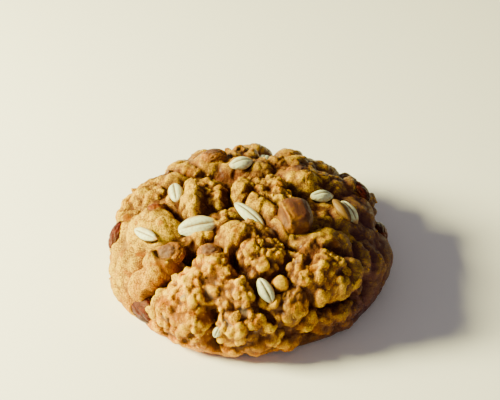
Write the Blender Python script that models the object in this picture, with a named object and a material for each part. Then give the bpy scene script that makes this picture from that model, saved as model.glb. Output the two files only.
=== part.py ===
"""An oatmeal raisin cookie: craggy domed dough with oat grains stuck to its top and raisins that peek out.

Every feature is placed on the crown map, the cookie's skin unrolled flat round the middle of its top.
A place on that map is (u, v) in millimetres: u to the right, v away from the viewer, and the distance
from (0, 0) is the way along the skin from the crown, over the shoulder and down to the foot.
"""

import math
from collections import namedtuple

import bmesh
import bpy
import numpy as np

MM = 0.001

# Driving dimensions of the whole cookie, in millimetres.
RADIUS = 36.6  # of the widest level, the waist
WAIST_HEIGHT = 5.6
CROWN_RISE = 18.6  # from the waist to the bare crown, before the lumps
CROWN_POWER = 2.3  # 2 would be an ellipse, and more is flatter on top with a steeper side
FOOT_RADIUS = 32.5  # of the flat underside
CROWN_X, CROWN_Y = -0.57, -0.58  # puts the middle of the whole over the origin
# How far the rim strays from a circle: waves round it, share of the radius and where the first crest is.
RIM_WANDER = ((2, 0.010, 20.0), (3, 0.014, 75.0), (5, 0.008, 140.0), (7, 0.006, 10.0))

# The mesh: a square net of this many cells a side is wrapped over the dome.
NET_CELLS = 60
FOOT_FADE = 7.0  # the relief dies away over this length above the foot
CREASE_SHARPNESS = 3.2  # how crisply two lumps meet, per millimetre
LUMP_POWER = 3.2  # 2 is a parabola, and more has a flatter top and steeper sides

WANDER_SIZE, WANDER_AMOUNT = 7.0, 1.3  # how far lump outlines stray from ellipses
CLUMP_SIZE, CLUMP_RISE = 4.6, 1.8  # the small clumps that every rough lump carries
NOISE_SEED = 11

Lump = namedtuple("Lump", "u v long wide turn rise rough")
Crack = namedtuple("Crack", "route width depth")
Grain = namedtuple("Grain", "name u v turn pitch roll length width thick lift")
Raisin = namedtuple("Raisin", "name u v turn long wide thick lift")

# The lumps that show, by their middle, half length, half width, turn in degrees, rise and roughness.
LUMPS = (
    # broad masses that the lumps stand on
    Lump(-18.0, -35.0, 13.0, 10.0, -20, 2.9, 0.7),
    Lump(-1.0, -37.0, 12.0, 11.0, 0, 2.7, 0.8),
    Lump(-9.5, -26.0, 9.0, 7.0, -30, 3.5, 0.6),
    Lump(27.0, -31.0, 10.0, 8.0, 35, 0.8, 0.5),
    Lump(4.5, 2.5, 9.5, 6.0, -15, 3.3, 0.8),
    Lump(-13.5, 2.5, 8.0, 6.5, 0, 3.2, 0.7),
    Lump(0.0, 15.0, 10.0, 5.5, 0, 2.7, 0.4),
    Lump(15.0, 11.0, 9.0, 7.0, -10, 3.0, 0.3),
    Lump(19.5, -20.0, 10.5, 8.0, 15, 3.8, 0.45),
    Lump(0.0, -15.5, 8.5, 7.0, 20, 3.4, 0.5),
    Lump(-25.0, -9.0, 10.0, 7.0, -45, 2.8, 0.15),
    # left
    Lump(-25.0, -6.6, 8.6, 5.8, -45, 4.0, 0.2),
    Lump(-22.5, -19.9, 6.0, 4.8, 0, 3.6, 0.3),
    Lump(-36.0, -16.1, 13.8, 10.3, 60, 1.0, 0.05),
    Lump(-28.0, -23.1, 7.5, 4.0, 15, 2.4, 0.15),
    Lump(-34.0, -2.7, 6.9, 5.8, 0, 1.6, 0.2),
    Lump(-27.0, 7.8, 6.3, 5.2, 20, 3.2, 0.6),
    Lump(-35.0, 5.3, 5.2, 4.6, 0, 2.0, 0.5),
    # crown, left to right
    Lump(-14.5, -1.1, 5.5, 3.7, 90, 4.6, 0.5),
    Lump(-9.0, 0.6, 4.1, 3.9, 0, 2.8, 0.8),
    Lump(-8.5, -7.7, 4.8, 3.0, 0, 1.6, 0.6),
    Lump(-13.5, -13.9, 5.2, 2.8, 10, 1.6, 0.6),
    Lump(-3.6, -16.1, 6.0, 5.1, 30, 4.8, 0.35),
    Lump(4.0, -22.0, 7.4, 6.2, -35, 4.8, 0.8),
    Lump(-9.0, -22.8, 5.3, 4.6, -20, 4.2, 0.5),
    Lump(-2.5, 2.2, 5.1, 3.4, 90, 4.2, 0.5),
    Lump(4.5, 4.3, 6.0, 3.7, -15, 3.9, 1.0),
    Lump(1.8, -3.3, 4.1, 2.5, -50, 3.4, 0.3),
    Lump(5.2, -5.6, 3.9, 2.3, -60, 3.1, 0.3),
    Lump(11.5, -11.1, 6.9, 5.3, -60, 2.4, 0.3),
    Lump(7.0, -13.4, 4.8, 2.9, -50, 3.8, 0.1),
    Lump(24.6, -3.2, 4.6, 2.4, -55, 0.9, 0.1),
    # back
    Lump(-18.5, 14.4, 6.9, 5.2, 10, 2.8, 0.6),
    Lump(-9.5, 17.4, 5.5, 4.6, 0, 4.6, 0.2),
    Lump(-1.5, 20.6, 5.8, 4.4, 0, 3.0, 0.4),
    Lump(4.2, 12.2, 3.9, 3.2, 30, 3.3, 0.2),
    Lump(10.0, 17.1, 5.3, 4.6, 0, 2.8, 0.5),
    Lump(14.0, 8.3, 6.4, 4.6, -20, 4.6, 0.3),
    Lump(23.5, 11.6, 6.2, 5.1, -30, 2.8, 0.3),
    Lump(31.5, 5.8, 5.8, 4.8, -40, 2.0, 0.2),
    # right
    Lump(19.5, -15.5, 8.6, 4.6, 20, 4.0, 0.25),
    Lump(19.0, -24.7, 9.7, 5.8, 12, 5.8, 0.9),
    Lump(26.5, -22.1, 4.4, 4.6, 0, 4.8, 0.3),
    Lump(18.3, -28.8, 3.7, 3.7, 0, 4.6, 0.5),
    Lump(32.0, -14.4, 6.9, 5.2, -20, 3.0, 0.25),
    Lump(37.0, -20.9, 3.4, 6.3, 10, 2.2, 0.15),
    Lump(41.0, -7.2, 3.7, 10.3, 5, 1.3, 0.0),
    Lump(31.5, -30.9, 8.6, 6.9, 40, 2.1, 0.5),
    Lump(24.0, -37.0, 5.8, 3.8, 10, 1.8, 0.5),
    # front
    Lump(12.0, -33.9, 6.0, 3.7, 75, 3.8, 0.5),
    Lump(8.5, -29.6, 2.4, 2.4, 0, 3.4, 0.0),
    Lump(16.6, -37.0, 4.4, 3.0, 60, 3.0, 0.4),
    Lump(14.0, -44.4, 7.1, 3.0, 22, 2.2, 0.4),
    Lump(6.0, -41.0, 5.5, 4.1, -50, 2.6, 0.6),
    Lump(-3.5, -38.0, 6.0, 5.3, 0, 3.0, 1.0),
    Lump(-1.5, -31.4, 7.1, 3.2, -45, 3.4, 0.8),
    Lump(-8.5, -29.3, 4.8, 3.7, 0, 3.0, 0.8),
    Lump(-16.5, -30.4, 6.0, 5.5, 80, 3.6, 0.7),
    Lump(-24.0, -32.0, 5.6, 4.6, -10, 3.2, 0.6),
    Lump(-16.5, -38.5, 6.0, 4.1, -20, 3.0, 0.6),
    Lump(-17.5, -44.5, 7.4, 3.9, -15, 1.2, 0.15),
    Lump(-29.0, -38.5, 9.8, 4.1, -35, 1.0, 0.1),
    Lump(-8.5, -47.4, 7.1, 2.8, -5, 1.5, 0.2),
    Lump(2.5, -45.5, 6.0, 3.7, 0, 1.7, 0.4),
)

# The far side is filled by rule: rows of lumps at these distances from the crown.
FAR_ROWS = ((24.0, 5), (33.0, 7), (42.0, 9))
FAR_SPAN = (28.0, 152.0)  # degrees round from the right
FAR_LUMP_SIZE, FAR_LUMP_RISE = (4.2, 6.2), (2.0, 3.6)

# Cracks and hollows between the lumps: the route over the crown map, half width and depth.
CRACKS = (
    Crack(((-16.0, -17.7), (-14.8, -20.4)), 2.1, 5.4),
    Crack(((-16.0, -21.5), (-20.0, -24.9), (-25.0, -27.0), (-31.5, -29.0)), 1.0, 4.4),
    Crack(((-17.5, -15.9), (-10.5, -16.3), (-7.0, -18.8)), 1.2, 2.4),
    Crack(((-4.2, -20.9), (-3.2, -25.7)), 1.0, 2.6),
    Crack(((3.5, -9.4), (8.0, -16.1), (12.0, -19.3)), 1.2, 2.8),
    Crack(((11.0, 3.2), (13.2, 1.1)), 1.8, 2.8),
    Crack(((-10.6, -35.4), (-10.2, -41.0), (-10.6, -46.0)), 1.5, 4.2),
    Crack(((1.6, -29.8), (1.8, -35.4), (6.5, -37.6)), 1.0, 2.2),
    Crack(((20.5, -31.7), (25.0, -29.6), (29.5, -26.2)), 1.1, 3.2),
    Crack(((17.5, -41.5), (23.5, -42.6)), 1.4, 2.6),
    Crack(((39.0, -24.0), (31.0, -36.0), (20.0, -45.0)), 6.0, 2.2),
    Crack(((20.0, -18.9), (26.0, -17.4), (31.0, -19.9)), 0.9, 2.6),
    Crack(((27.5, -6.5), (31.6, -12.5), (33.0, -18.0), (33.4, -23.5), (30.0, -29.0)), 1.0, 1.7),
    Crack(((25.8, -8.5), (27.6, -14.5), (29.3, -18.8)), 0.7, 1.1),
    Crack(((-20.5, -1.6), (-16.5, -7.2)), 1.2, 2.2),
    Crack(((-5.8, 5.3), (-6.2, -2.7)), 1.0, 2.4),
    Crack(((-12.0, 11.6), (-4.5, 10.7)), 1.2, 1.6),
)

# Oat grains: place, turn and pitch in degrees, and full length, width and thickness.
GRAINS = (
    Grain("large", -13.0, -10.2, 6, 0, 22, 10.4, 6.0, 3.0, 1.1),
    Grain("left", -25.1, -11.8, -44, 0, 20, 8.8, 3.2, 2.4, 0.7),
    Grain("back_left", -18.6, 1.9, 99, 8, 0, 7.4, 4.0, 2.6, 0.9),
    Grain("back", -1.8, 12.5, 26, 0, 14, 7.0, 4.2, 2.8, 0.6),
    Grain("middle", 0.4, -6.6, -44, -10, 8, 11.0, 3.8, 2.6, 0.8),
    Grain("right", 19.5, 3.5, 27, 0, 0, 7.2, 4.0, 2.8, 0.7),
    Grain("far_right", 26.5, -0.6, -58, -4, 12, 8.0, 3.8, 3.0, 1.1),
    Grain("far_right_half", 24.0, -1.7, -58, 0, -10, 8.4, 3.4, 2.6, 0.7),
    Grain("front", 4.5, -31.4, -60, 0, 0, 7.4, 3.9, 2.8, 0.8),
    Grain("crevice", -8.6, -40.2, 54, 0, 0, 3.4, 2.2, 1.8, 0.4),
    Grain("far_back", 4.4, 22.0, 80, 0, 0, 6.6, 3.4, 2.2, 0.3),
)

# Raisins: place, turn, half length, half width, half thickness, and the middle's height over the dough.
RAISINS = (
    Raisin("left_rim", -36.5, -2.5, 66, 4.6, 3.0, 2.2, -1.3),
    Raisin("left_foot", -34.2, -29.1, -39, 6.6, 3.9, 2.4, -1.8),
    Raisin("left_knob", -20.6, -16.7, 5, 4.2, 3.4, 2.4, -1.7),
    Raisin("middle_knob", -9.4, -19.6, -18, 3.4, 2.6, 2.0, -1.4),
    Raisin("back_left", -9.2, 17.6, 15, 3.8, 3.0, 2.3, -1.4),
    Raisin("chunk", 11.6, -9.6, -78, 5.3, 4.3, 3.9, 0.4),
    Raisin("back_right", 13.1, 10.4, 5, 3.6, 2.6, 2.2, -1.3),
    Raisin("right_rim", 40.6, 4.6, 72, 4.4, 3.2, 2.2, -0.6),
    Raisin("right_back", 30.6, 13.0, -55, 4.2, 2.8, 2.0, -1.0),
    Raisin("left_crown", -23.8, -2.8, -60, 3.2, 2.5, 2.0, -1.5),
    Raisin("far_side", 4.0, 41.5, 15, 4.8, 3.4, 2.4, -0.9),
)
POCKET_GAP = 0.35  # between a raisin and the dough round it
STEP_AHEAD = 0.2  # the short step over the map that shows which way a turn points
RAISIN_SIDES, RAISIN_RINGS = 12, 7
GRAIN_SIDES, GRAIN_RINGS = 8, 6


def dome_profile():
    """Arc length, radius and height along the bare skin, from the crown to the foot."""
    top = np.linspace(math.pi / 2, 0.0, 300)
    radius = RADIUS * np.cos(top).clip(0.0) ** (2 / CROWN_POWER)
    height = WAIST_HEIGHT + CROWN_RISE * np.sin(top).clip(0.0) ** (2 / CROWN_POWER)
    under = np.linspace(0.0, math.pi / 2, 60)[1:]
    radius = np.append(radius, FOOT_RADIUS + (RADIUS - FOOT_RADIUS) * np.cos(under))
    height = np.append(height, WAIST_HEIGHT * (1 - np.sin(under)))
    arc = np.append(0.0, np.cumsum(np.hypot(np.diff(radius), np.diff(height))))
    return arc, radius, height


ARC, PROFILE_RADIUS, PROFILE_HEIGHT = dome_profile()
SKIN_LENGTH = ARC[-1]


def lattice_noise(points, size, seed):
    """Smooth noise from -1 to 1, by blending random values at the corners of cubes of this size."""
    table = np.random.default_rng(seed).uniform(-1.0, 1.0, (32, 32, 32))
    cell = np.floor(points / size).astype(int)
    t = points / size - cell
    t = t * t * (3 - 2 * t)
    total = np.zeros(len(points))
    for corner in np.ndindex(2, 2, 2):
        share = np.prod(np.where(corner, t, 1 - t), axis=1)
        total += share * table[tuple(((cell + corner) % 32).T)]
    return total


def cell_bumps(points, size, seed):
    """Round clumps with creases between them: 1 in the middle of a clump and about 0 where clumps meet."""
    table = np.random.default_rng(seed).uniform(0.0, 1.0, (32, 32, 32, 3))
    cell = np.floor(points / size).astype(int)
    nearest = np.full(len(points), 4.0)
    for step in np.ndindex(3, 3, 3):
        home = cell + step - 1
        middle = home + table[tuple((home % 32).T)]
        nearest = np.minimum(nearest, np.sum((points / size - middle) ** 2, axis=1))
    return np.clip(1 - nearest / 0.55, 0.0, 1.0)


def skin_frame(u, v):
    """Bare skin points at these map places, in millimetres, with the outward normals."""
    azimuth = np.arctan2(v, u)
    reach = np.hypot(u, v)
    wander = sum(share * np.cos(waves * azimuth + math.radians(phase)) for waves, share, phase in RIM_WANDER)
    radius = np.interp(reach, ARC, PROFILE_RADIUS)
    out = np.interp(reach, ARC, np.gradient(PROFILE_RADIUS, ARC))
    down = np.interp(reach, ARC, np.gradient(PROFILE_HEIGHT, ARC))
    spread = radius * (1 + wander * radius / RADIUS)
    height = np.interp(reach, ARC, PROFILE_HEIGHT)
    points = np.stack([spread * np.cos(azimuth), spread * np.sin(azimuth), height], -1)
    normals = np.stack([-down * np.cos(azimuth), -down * np.sin(azimuth), out], -1)
    return points, normals / np.linalg.norm(normals, axis=1, keepdims=True)


def far_lumps():
    """The lumps of the side that is out of sight, in rows with a seeded scatter."""
    draw = np.random.default_rng(NOISE_SEED)
    for reach, count in FAR_ROWS:
        for degrees in np.linspace(*FAR_SPAN, count):
            angle = math.radians(degrees + draw.uniform(-4, 4))
            far = reach + draw.uniform(-1.5, 1.5)
            size = draw.uniform(*FAR_LUMP_SIZE)
            u, v = far * math.cos(angle), far * math.sin(angle)
            rise = draw.uniform(*FAR_LUMP_RISE)
            yield Lump(u, v, size * 1.2, size * 0.85, draw.uniform(0, 180), rise, draw.uniform(0.1, 0.8))


def lumps_relief(u, v):
    """The height and roughness of the lumps: caps joined by a soft maximum, with creases between them."""
    weights = np.ones(len(u))
    rough = np.full(len(u), 0.4)
    for lump in LUMPS + tuple(far_lumps()):
        turn = math.radians(lump.turn)
        along = ((u - lump.u) * math.cos(turn) + (v - lump.v) * math.sin(turn)) / lump.long
        across = ((v - lump.v) * math.cos(turn) - (u - lump.u) * math.sin(turn)) / lump.wide
        cap = lump.rise * (1 - np.hypot(along, across) ** LUMP_POWER)
        weight = np.exp(CREASE_SHARPNESS * np.maximum(cap, -4.0))
        weights += weight
        rough += weight * lump.rough
    return np.log(weights) / CREASE_SHARPNESS, rough / weights


def distance_to(route, u, v):
    """The distance on the map from each place to a route of straight stretches."""
    nearest = np.full(len(u), np.inf)
    for (u0, v0), (u1, v1) in zip(route, route[1:]):
        length = (u1 - u0) ** 2 + (v1 - v0) ** 2
        t = np.clip(((u - u0) * (u1 - u0) + (v - v0) * (v1 - v0)) / length, 0.0, 1.0)
        nearest = np.minimum(nearest, np.hypot(u - u0 - t * (u1 - u0), v - v0 - t * (v1 - v0)))
    return nearest


def relief(u, v):
    """How far the dough stands over the bare skin at these map places."""
    points, _ = skin_frame(u, v)
    stray_u = u + WANDER_AMOUNT * lattice_noise(points, WANDER_SIZE, NOISE_SEED + 1)
    stray_v = v + WANDER_AMOUNT * lattice_noise(points, WANDER_SIZE, NOISE_SEED + 2)
    height, rough = lumps_relief(stray_u, stray_v)
    height += CLUMP_RISE * (0.25 + rough) * (cell_bumps(points, CLUMP_SIZE, NOISE_SEED + 3) - 0.5)
    for crack in CRACKS:
        height -= crack.depth * np.exp(-((distance_to(crack.route, stray_u, stray_v) / crack.width) ** 2))
    fade = np.clip((SKIN_LENGTH - np.hypot(u, v)) / FOOT_FADE, 0.0, 1.0)
    return height * fade * fade * (3 - 2 * fade)


def dough_points(u, v, lift=0.0):
    """Points on the dough, or at this lift over it, with the bare skin's normals."""
    points, normals = skin_frame(u, v)
    points = points + normals * (relief(u, v) + lift)[:, None]
    points[:, 2] = np.maximum(points[:, 2], 0.0)
    return points, normals


def material(name, colour, roughness):
    """A Principled material of this colour."""
    made = bpy.data.materials.new(name)
    made.use_nodes = True
    shader = made.node_tree.nodes["Principled BSDF"]
    shader.inputs["Base Color"].default_value = (*colour, 1.0)
    shader.inputs["Roughness"].default_value = roughness
    shader.inputs["Metallic"].default_value = 0.0
    return made


def link(name, mesh, collection, finish=None):
    """A new object of this mesh in this collection."""
    made = bpy.data.objects.new(name, mesh)
    collection.objects.link(made)
    if finish:
        mesh.materials.append(finish)
    return made


def write_points(mesh, points):
    """Moves the mesh's vertices to these points, given in millimetres from the foot below the crown."""
    centred = points + np.array([CROWN_X, CROWN_Y, 0.0])
    mesh.vertices.foreach_set("co", (centred * MM).astype(np.float32).ravel())
    mesh.update()


def square_to_disc(x, y):
    """The map from the square of side 2 to the unit disc that turns each square ring into a round one."""
    ring = np.maximum(np.abs(x), np.abs(y))
    sideways = np.abs(x) >= np.abs(y)
    with np.errstate(divide="ignore", invalid="ignore"):
        angle = np.where(sideways, math.pi / 4 * y / x, math.pi / 2 - math.pi / 4 * x / y)
    angle = np.nan_to_num(angle) + np.where(np.where(sideways, x, y) < 0, math.pi, 0.0)
    return ring * np.cos(angle), ring * np.sin(angle)


def make_dough(collection, finish):
    """The dough: a flat net wrapped over the dome, with the open foot closed by one flat face."""
    mesh = bpy.data.meshes.new("dough")
    net = bmesh.new()
    bmesh.ops.create_grid(net, x_segments=NET_CELLS, y_segments=NET_CELLS, size=1.0)
    rim = [edge for edge in net.edges if edge.is_boundary]
    bmesh.ops.edgeloop_fill(net, edges=rim)
    net.to_mesh(mesh)
    net.free()
    flat = np.empty(len(mesh.vertices) * 3, np.float32)
    mesh.vertices.foreach_get("co", flat)
    flat = flat.reshape(-1, 3).astype(float)
    u, v = square_to_disc(flat[:, 0], flat[:, 1])
    points, _ = dough_points(u * SKIN_LENGTH, v * SKIN_LENGTH)
    points[np.abs(flat[:, :2]).max(axis=1) > 1 - 1e-6, 2] = 0.0
    write_points(mesh, points)
    net = bmesh.new()
    net.from_mesh(mesh)
    bmesh.ops.triangulate(net, faces=net.faces)
    bmesh.ops.recalc_face_normals(net, faces=net.faces)
    net.to_mesh(mesh)
    net.free()
    return link("dough", mesh, collection, finish)


def turned(first, second, degrees):
    """Two square axes turned by this angle, the first towards the second."""
    angle = math.radians(degrees)
    new_first = first * math.cos(angle) + second * math.sin(angle)
    new_second = second * math.cos(angle) - first * math.sin(angle)
    return new_first, new_second


def placed(shape, place, lift, sizes):
    """A unit shape's points, stretched to the sizes and laid on the dough at its place and turns."""
    (middle,), (normal,) = dough_points(np.array([place.u]), np.array([place.v]), np.array([lift]))
    turn = math.radians(place.turn)
    steps = np.array([0.0, STEP_AHEAD])
    (here, ahead), _ = skin_frame(place.u + steps * math.cos(turn), place.v + steps * math.sin(turn))
    along = ahead - here
    along -= normal * (along @ normal)
    along /= np.linalg.norm(along)
    across = np.cross(normal, along)
    along, normal = turned(along, normal, getattr(place, "pitch", 0.0))
    across, normal = turned(across, normal, getattr(place, "roll", 0.0))
    return middle + (shape * sizes) @ np.stack([along, across, normal])


def unit_sphere(sides, rings):
    """A mesh of a unit sphere with its poles on the X axis, and its points."""
    mesh = bpy.data.meshes.new("ball")
    ball = bmesh.new()
    bmesh.ops.create_uvsphere(ball, u_segments=sides, v_segments=rings, radius=1.0)
    bmesh.ops.triangulate(ball, faces=ball.faces)
    ball.to_mesh(mesh)
    ball.free()
    points = np.empty(len(mesh.vertices) * 3, np.float32)
    mesh.vertices.foreach_get("co", points)
    x, y, z = points.reshape(-1, 3).astype(float).T
    return mesh, np.stack([z, x, y], -1)


def make_grain(grain, collection, finish):
    """An oat grain: a lens that tapers to both tips, with a shallow crease along its top."""
    mesh, ball = unit_sphere(GRAIN_SIDES, GRAIN_RINGS)
    taper = 1 - 0.22 * np.abs(ball[:, 0]) ** 2
    crease = np.where(ball[:, 2] > 0.5, np.exp(-((ball[:, 1] / 0.25) ** 2)) * 0.12, 0.0)
    shape = np.stack([ball[:, 0], ball[:, 1] * taper, ball[:, 2] * taper - crease], -1)
    sizes = np.array([grain.length, grain.width, grain.thick]) / 2
    write_points(mesh, placed(shape, grain, grain.lift, sizes))
    return link(f"grain_{grain.name}", mesh, collection, finish)


def make_raisin(raisin, collection, finish, gap=0.0):
    """A raisin: a plump, flattened drop with a few broad wrinkles, grown by the gap when it is a cutter."""
    mesh, ball = unit_sphere(RAISIN_SIDES, RAISIN_RINGS)
    offset = np.array([raisin.u, raisin.v, 0.0])
    folds = 1 + 0.10 * lattice_noise(ball * 2.2 + offset, 1.0, NOISE_SEED + 7)
    shape = ball * folds[:, None]
    sizes = np.array([raisin.long, raisin.wide, raisin.thick]) + gap
    write_points(mesh, placed(shape, raisin, raisin.lift, sizes))
    return link(f"raisin_{raisin.name}", mesh, collection, finish)


def apply_boolean(target, collection, operation):
    """Joins or cuts the target with every object of the collection, applied."""
    modifier = target.modifiers.new(operation.title(), "BOOLEAN")
    modifier.operation = operation
    modifier.operand_type = "COLLECTION"
    modifier.collection = collection
    modifier.solver = "EXACT"
    graph = bpy.context.evaluated_depsgraph_get()
    mesh = bpy.data.meshes.new_from_object(target.evaluated_get(graph))
    target.modifiers.clear()
    target.data = mesh


def drop_scraps(target):
    """Deletes any loose scrap that cutting left, so that the dough stays one body."""
    whole = bmesh.new()
    whole.from_mesh(target.data)
    left, pieces = set(whole.verts), []
    while left:
        stack, piece = [left.pop()], set()
        while stack:
            vertex = stack.pop()
            piece.add(vertex)
            near = {edge.other_vert(vertex) for edge in vertex.link_edges} & left
            left -= near
            stack.extend(near)
        pieces.append(piece)
    pieces.sort(key=len)
    for piece in pieces[:-1]:
        bmesh.ops.delete(whole, geom=list(piece), context="VERTS")
    whole.to_mesh(target.data)
    whole.free()


def main():
    """Clears the scene and builds the cookie."""
    for old in list(bpy.data.objects):
        bpy.data.objects.remove(old)
    cookie = bpy.data.collections.new("oatmeal_raisin_cookie")
    pockets = bpy.data.collections.new("raisin_pockets")
    grains = bpy.data.collections.new("grains")
    for collection in (cookie, pockets, grains):
        bpy.context.scene.collection.children.link(collection)
    baked = material("baked_dough", (0.48, 0.27, 0.085), 0.75)
    skin = material("raisin_skin", (0.10, 0.025, 0.02), 0.45)
    husk = material("oat_grain", (0.62, 0.56, 0.36), 0.5)

    dough = make_dough(cookie, baked)
    for grain in GRAINS:
        make_grain(grain, grains, husk)
    apply_boolean(dough, grains, "UNION")
    for raisin in RAISINS:
        make_raisin(raisin, pockets, None, POCKET_GAP)
    apply_boolean(dough, pockets, "DIFFERENCE")
    drop_scraps(dough)
    for helper in list(grains.objects) + list(pockets.objects):
        bpy.data.objects.remove(helper)
    for raisin in RAISINS:
        make_raisin(raisin, cookie, skin)
    for part in cookie.objects:
        part.data.shade_smooth()


main()
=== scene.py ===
"""The looks of an oatmeal raisin cookie: knobbly golden dough with oat grains, raisins, flakes and crumbs.

Places are given on the crown map, the cookie's bare skin unrolled flat round the middle of its top:
(u, v) in millimetres, u to the right and v away from the viewer. The distance from (0, 0) is the way along
the skin from the crown, over the shoulder and down to the foot. Shapes are worked out in millimetres and
written in metres.
"""

import logging
import math
from dataclasses import dataclass, field
from enum import Enum

import bpy
import numpy as np
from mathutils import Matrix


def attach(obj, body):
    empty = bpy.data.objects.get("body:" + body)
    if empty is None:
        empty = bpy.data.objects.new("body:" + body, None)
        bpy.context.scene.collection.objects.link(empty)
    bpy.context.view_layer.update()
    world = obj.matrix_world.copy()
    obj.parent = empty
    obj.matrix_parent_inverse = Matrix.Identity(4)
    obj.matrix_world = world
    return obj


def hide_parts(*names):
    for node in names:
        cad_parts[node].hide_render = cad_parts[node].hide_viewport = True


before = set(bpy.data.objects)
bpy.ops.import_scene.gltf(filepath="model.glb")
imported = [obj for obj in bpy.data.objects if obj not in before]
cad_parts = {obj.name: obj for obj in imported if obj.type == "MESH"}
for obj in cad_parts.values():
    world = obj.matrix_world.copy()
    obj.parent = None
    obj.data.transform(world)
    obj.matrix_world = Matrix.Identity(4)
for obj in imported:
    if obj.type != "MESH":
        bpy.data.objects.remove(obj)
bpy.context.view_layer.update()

log = logging.getLogger("cookie")

MM = 0.001
SEED = 11
CLEAR_OF_FLOOR = 0.05

Array = np.ndarray
Colour = tuple[float, float, float]


# Noise.


def lattice_noise(points: Array, size: float, seed: int) -> Array:
    """Smooth noise from -1 to 1: random values at the corners of cubes, blended by a smooth step.

    Args:
        points: places in millimetres, one a row.
        size: the side of a cube in millimetres.
        seed: picks the table of random values.

    Returns:
        One value for each point.
    """
    table = np.random.default_rng(seed).uniform(-1.0, 1.0, (32, 32, 32))
    cell = np.floor(points / size).astype(int)
    t = points / size - cell
    t = t * t * (3 - 2 * t)
    total = np.zeros(len(points))
    for corner in np.ndindex(2, 2, 2):
        share = np.prod(np.where(corner, t, 1 - t), axis=1)
        total += share * table[tuple(((cell + corner) % 32).T)]
    return total


def layered_noise(points: Array, size: float, seed: int, layers: int = 3) -> Array:
    """Sum of lattice noises, each with half the size and half the height of the one before.

    Args:
        points: places in millimetres.
        size: the size of the first layer.
        seed: the seed of the first layer.
        layers: how many layers there are.

    Returns:
        One value for each point, from about -1 to 1.
    """
    total = np.zeros(len(points))
    for layer in range(layers):
        total += 0.5**layer * lattice_noise(points + 17.0 * layer, size * 0.5**layer, seed + layer)
    return total / 1.4


def cell_noise(points: Array, size: float, seed: int) -> tuple[Array, Array, Array]:
    """Squared distances, in cells, to the nearest and second nearest of seeded points, one in each cube.

    Args:
        points: places in millimetres.
        size: the side of a cube in millimetres.
        seed: picks where the points lie.

    Returns:
        The nearest distance, the second nearest, and a random value that belongs to the nearest point.
    """
    table = np.random.default_rng(seed).uniform(0.0, 1.0, (32, 32, 32, 3))
    cell = np.floor(points / size).astype(int)
    nearest = np.full(len(points), 4.0)
    second = np.full(len(points), 4.0)
    shade = np.zeros(len(points))
    for step in np.ndindex(3, 3, 3):
        home = cell + step - 1
        spot = table[tuple((home % 32).T)]
        distance = np.sum((points / size - home - spot) ** 2, axis=1)
        closer = distance < nearest
        second = np.where(closer, nearest, np.minimum(second, distance))
        shade = np.where(closer, spot[:, 0], shade)
        nearest = np.minimum(nearest, distance)
    return nearest, second, shade


def knobs(points: Array, size: float, seed: int) -> Array:
    """Round caps: one less the squared distance to the nearest point over 0.55, cut off below 0."""
    return np.clip(1 - cell_noise(points, size, seed)[0] / 0.55, 0.0, 1.0)


def nodules(points: Array, size: float, seed: int) -> Array:
    """Round nodules of mixed sizes: the highest of reach squared less distance squared, over seeded points.

    Args:
        points: places in millimetres.
        size: the side of a cube in millimetres.
        seed: picks where the nodules lie and how far they reach.

    Returns:
        1 on top of the largest nodules and 0 where none reaches.
    """
    table = np.random.default_rng(seed).uniform(0.0, 1.0, (32, 32, 32, 4))
    cell = np.floor(points / size).astype(int)
    highest = np.zeros(len(points))
    for step in np.ndindex(3, 3, 3):
        home = cell + step - 1
        spot = table[tuple((home % 32).T)]
        reach = 0.58 + 0.34 * spot[:, 3]
        distance = np.sum((points / size - home - spot[:, :3]) ** 2, axis=1)
        highest = np.maximum(highest, reach**2 - distance)
    return (highest / 0.85) ** 0.9


def smooth_step(values: Array, low: float, high: float) -> Array:
    """0 below low and 1 above high, with a smooth rise between them."""
    t = np.clip((values - low) / (high - low), 0.0, 1.0)
    return t * t * (3 - 2 * t)


# The bare cookie and its lumps.


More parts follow.
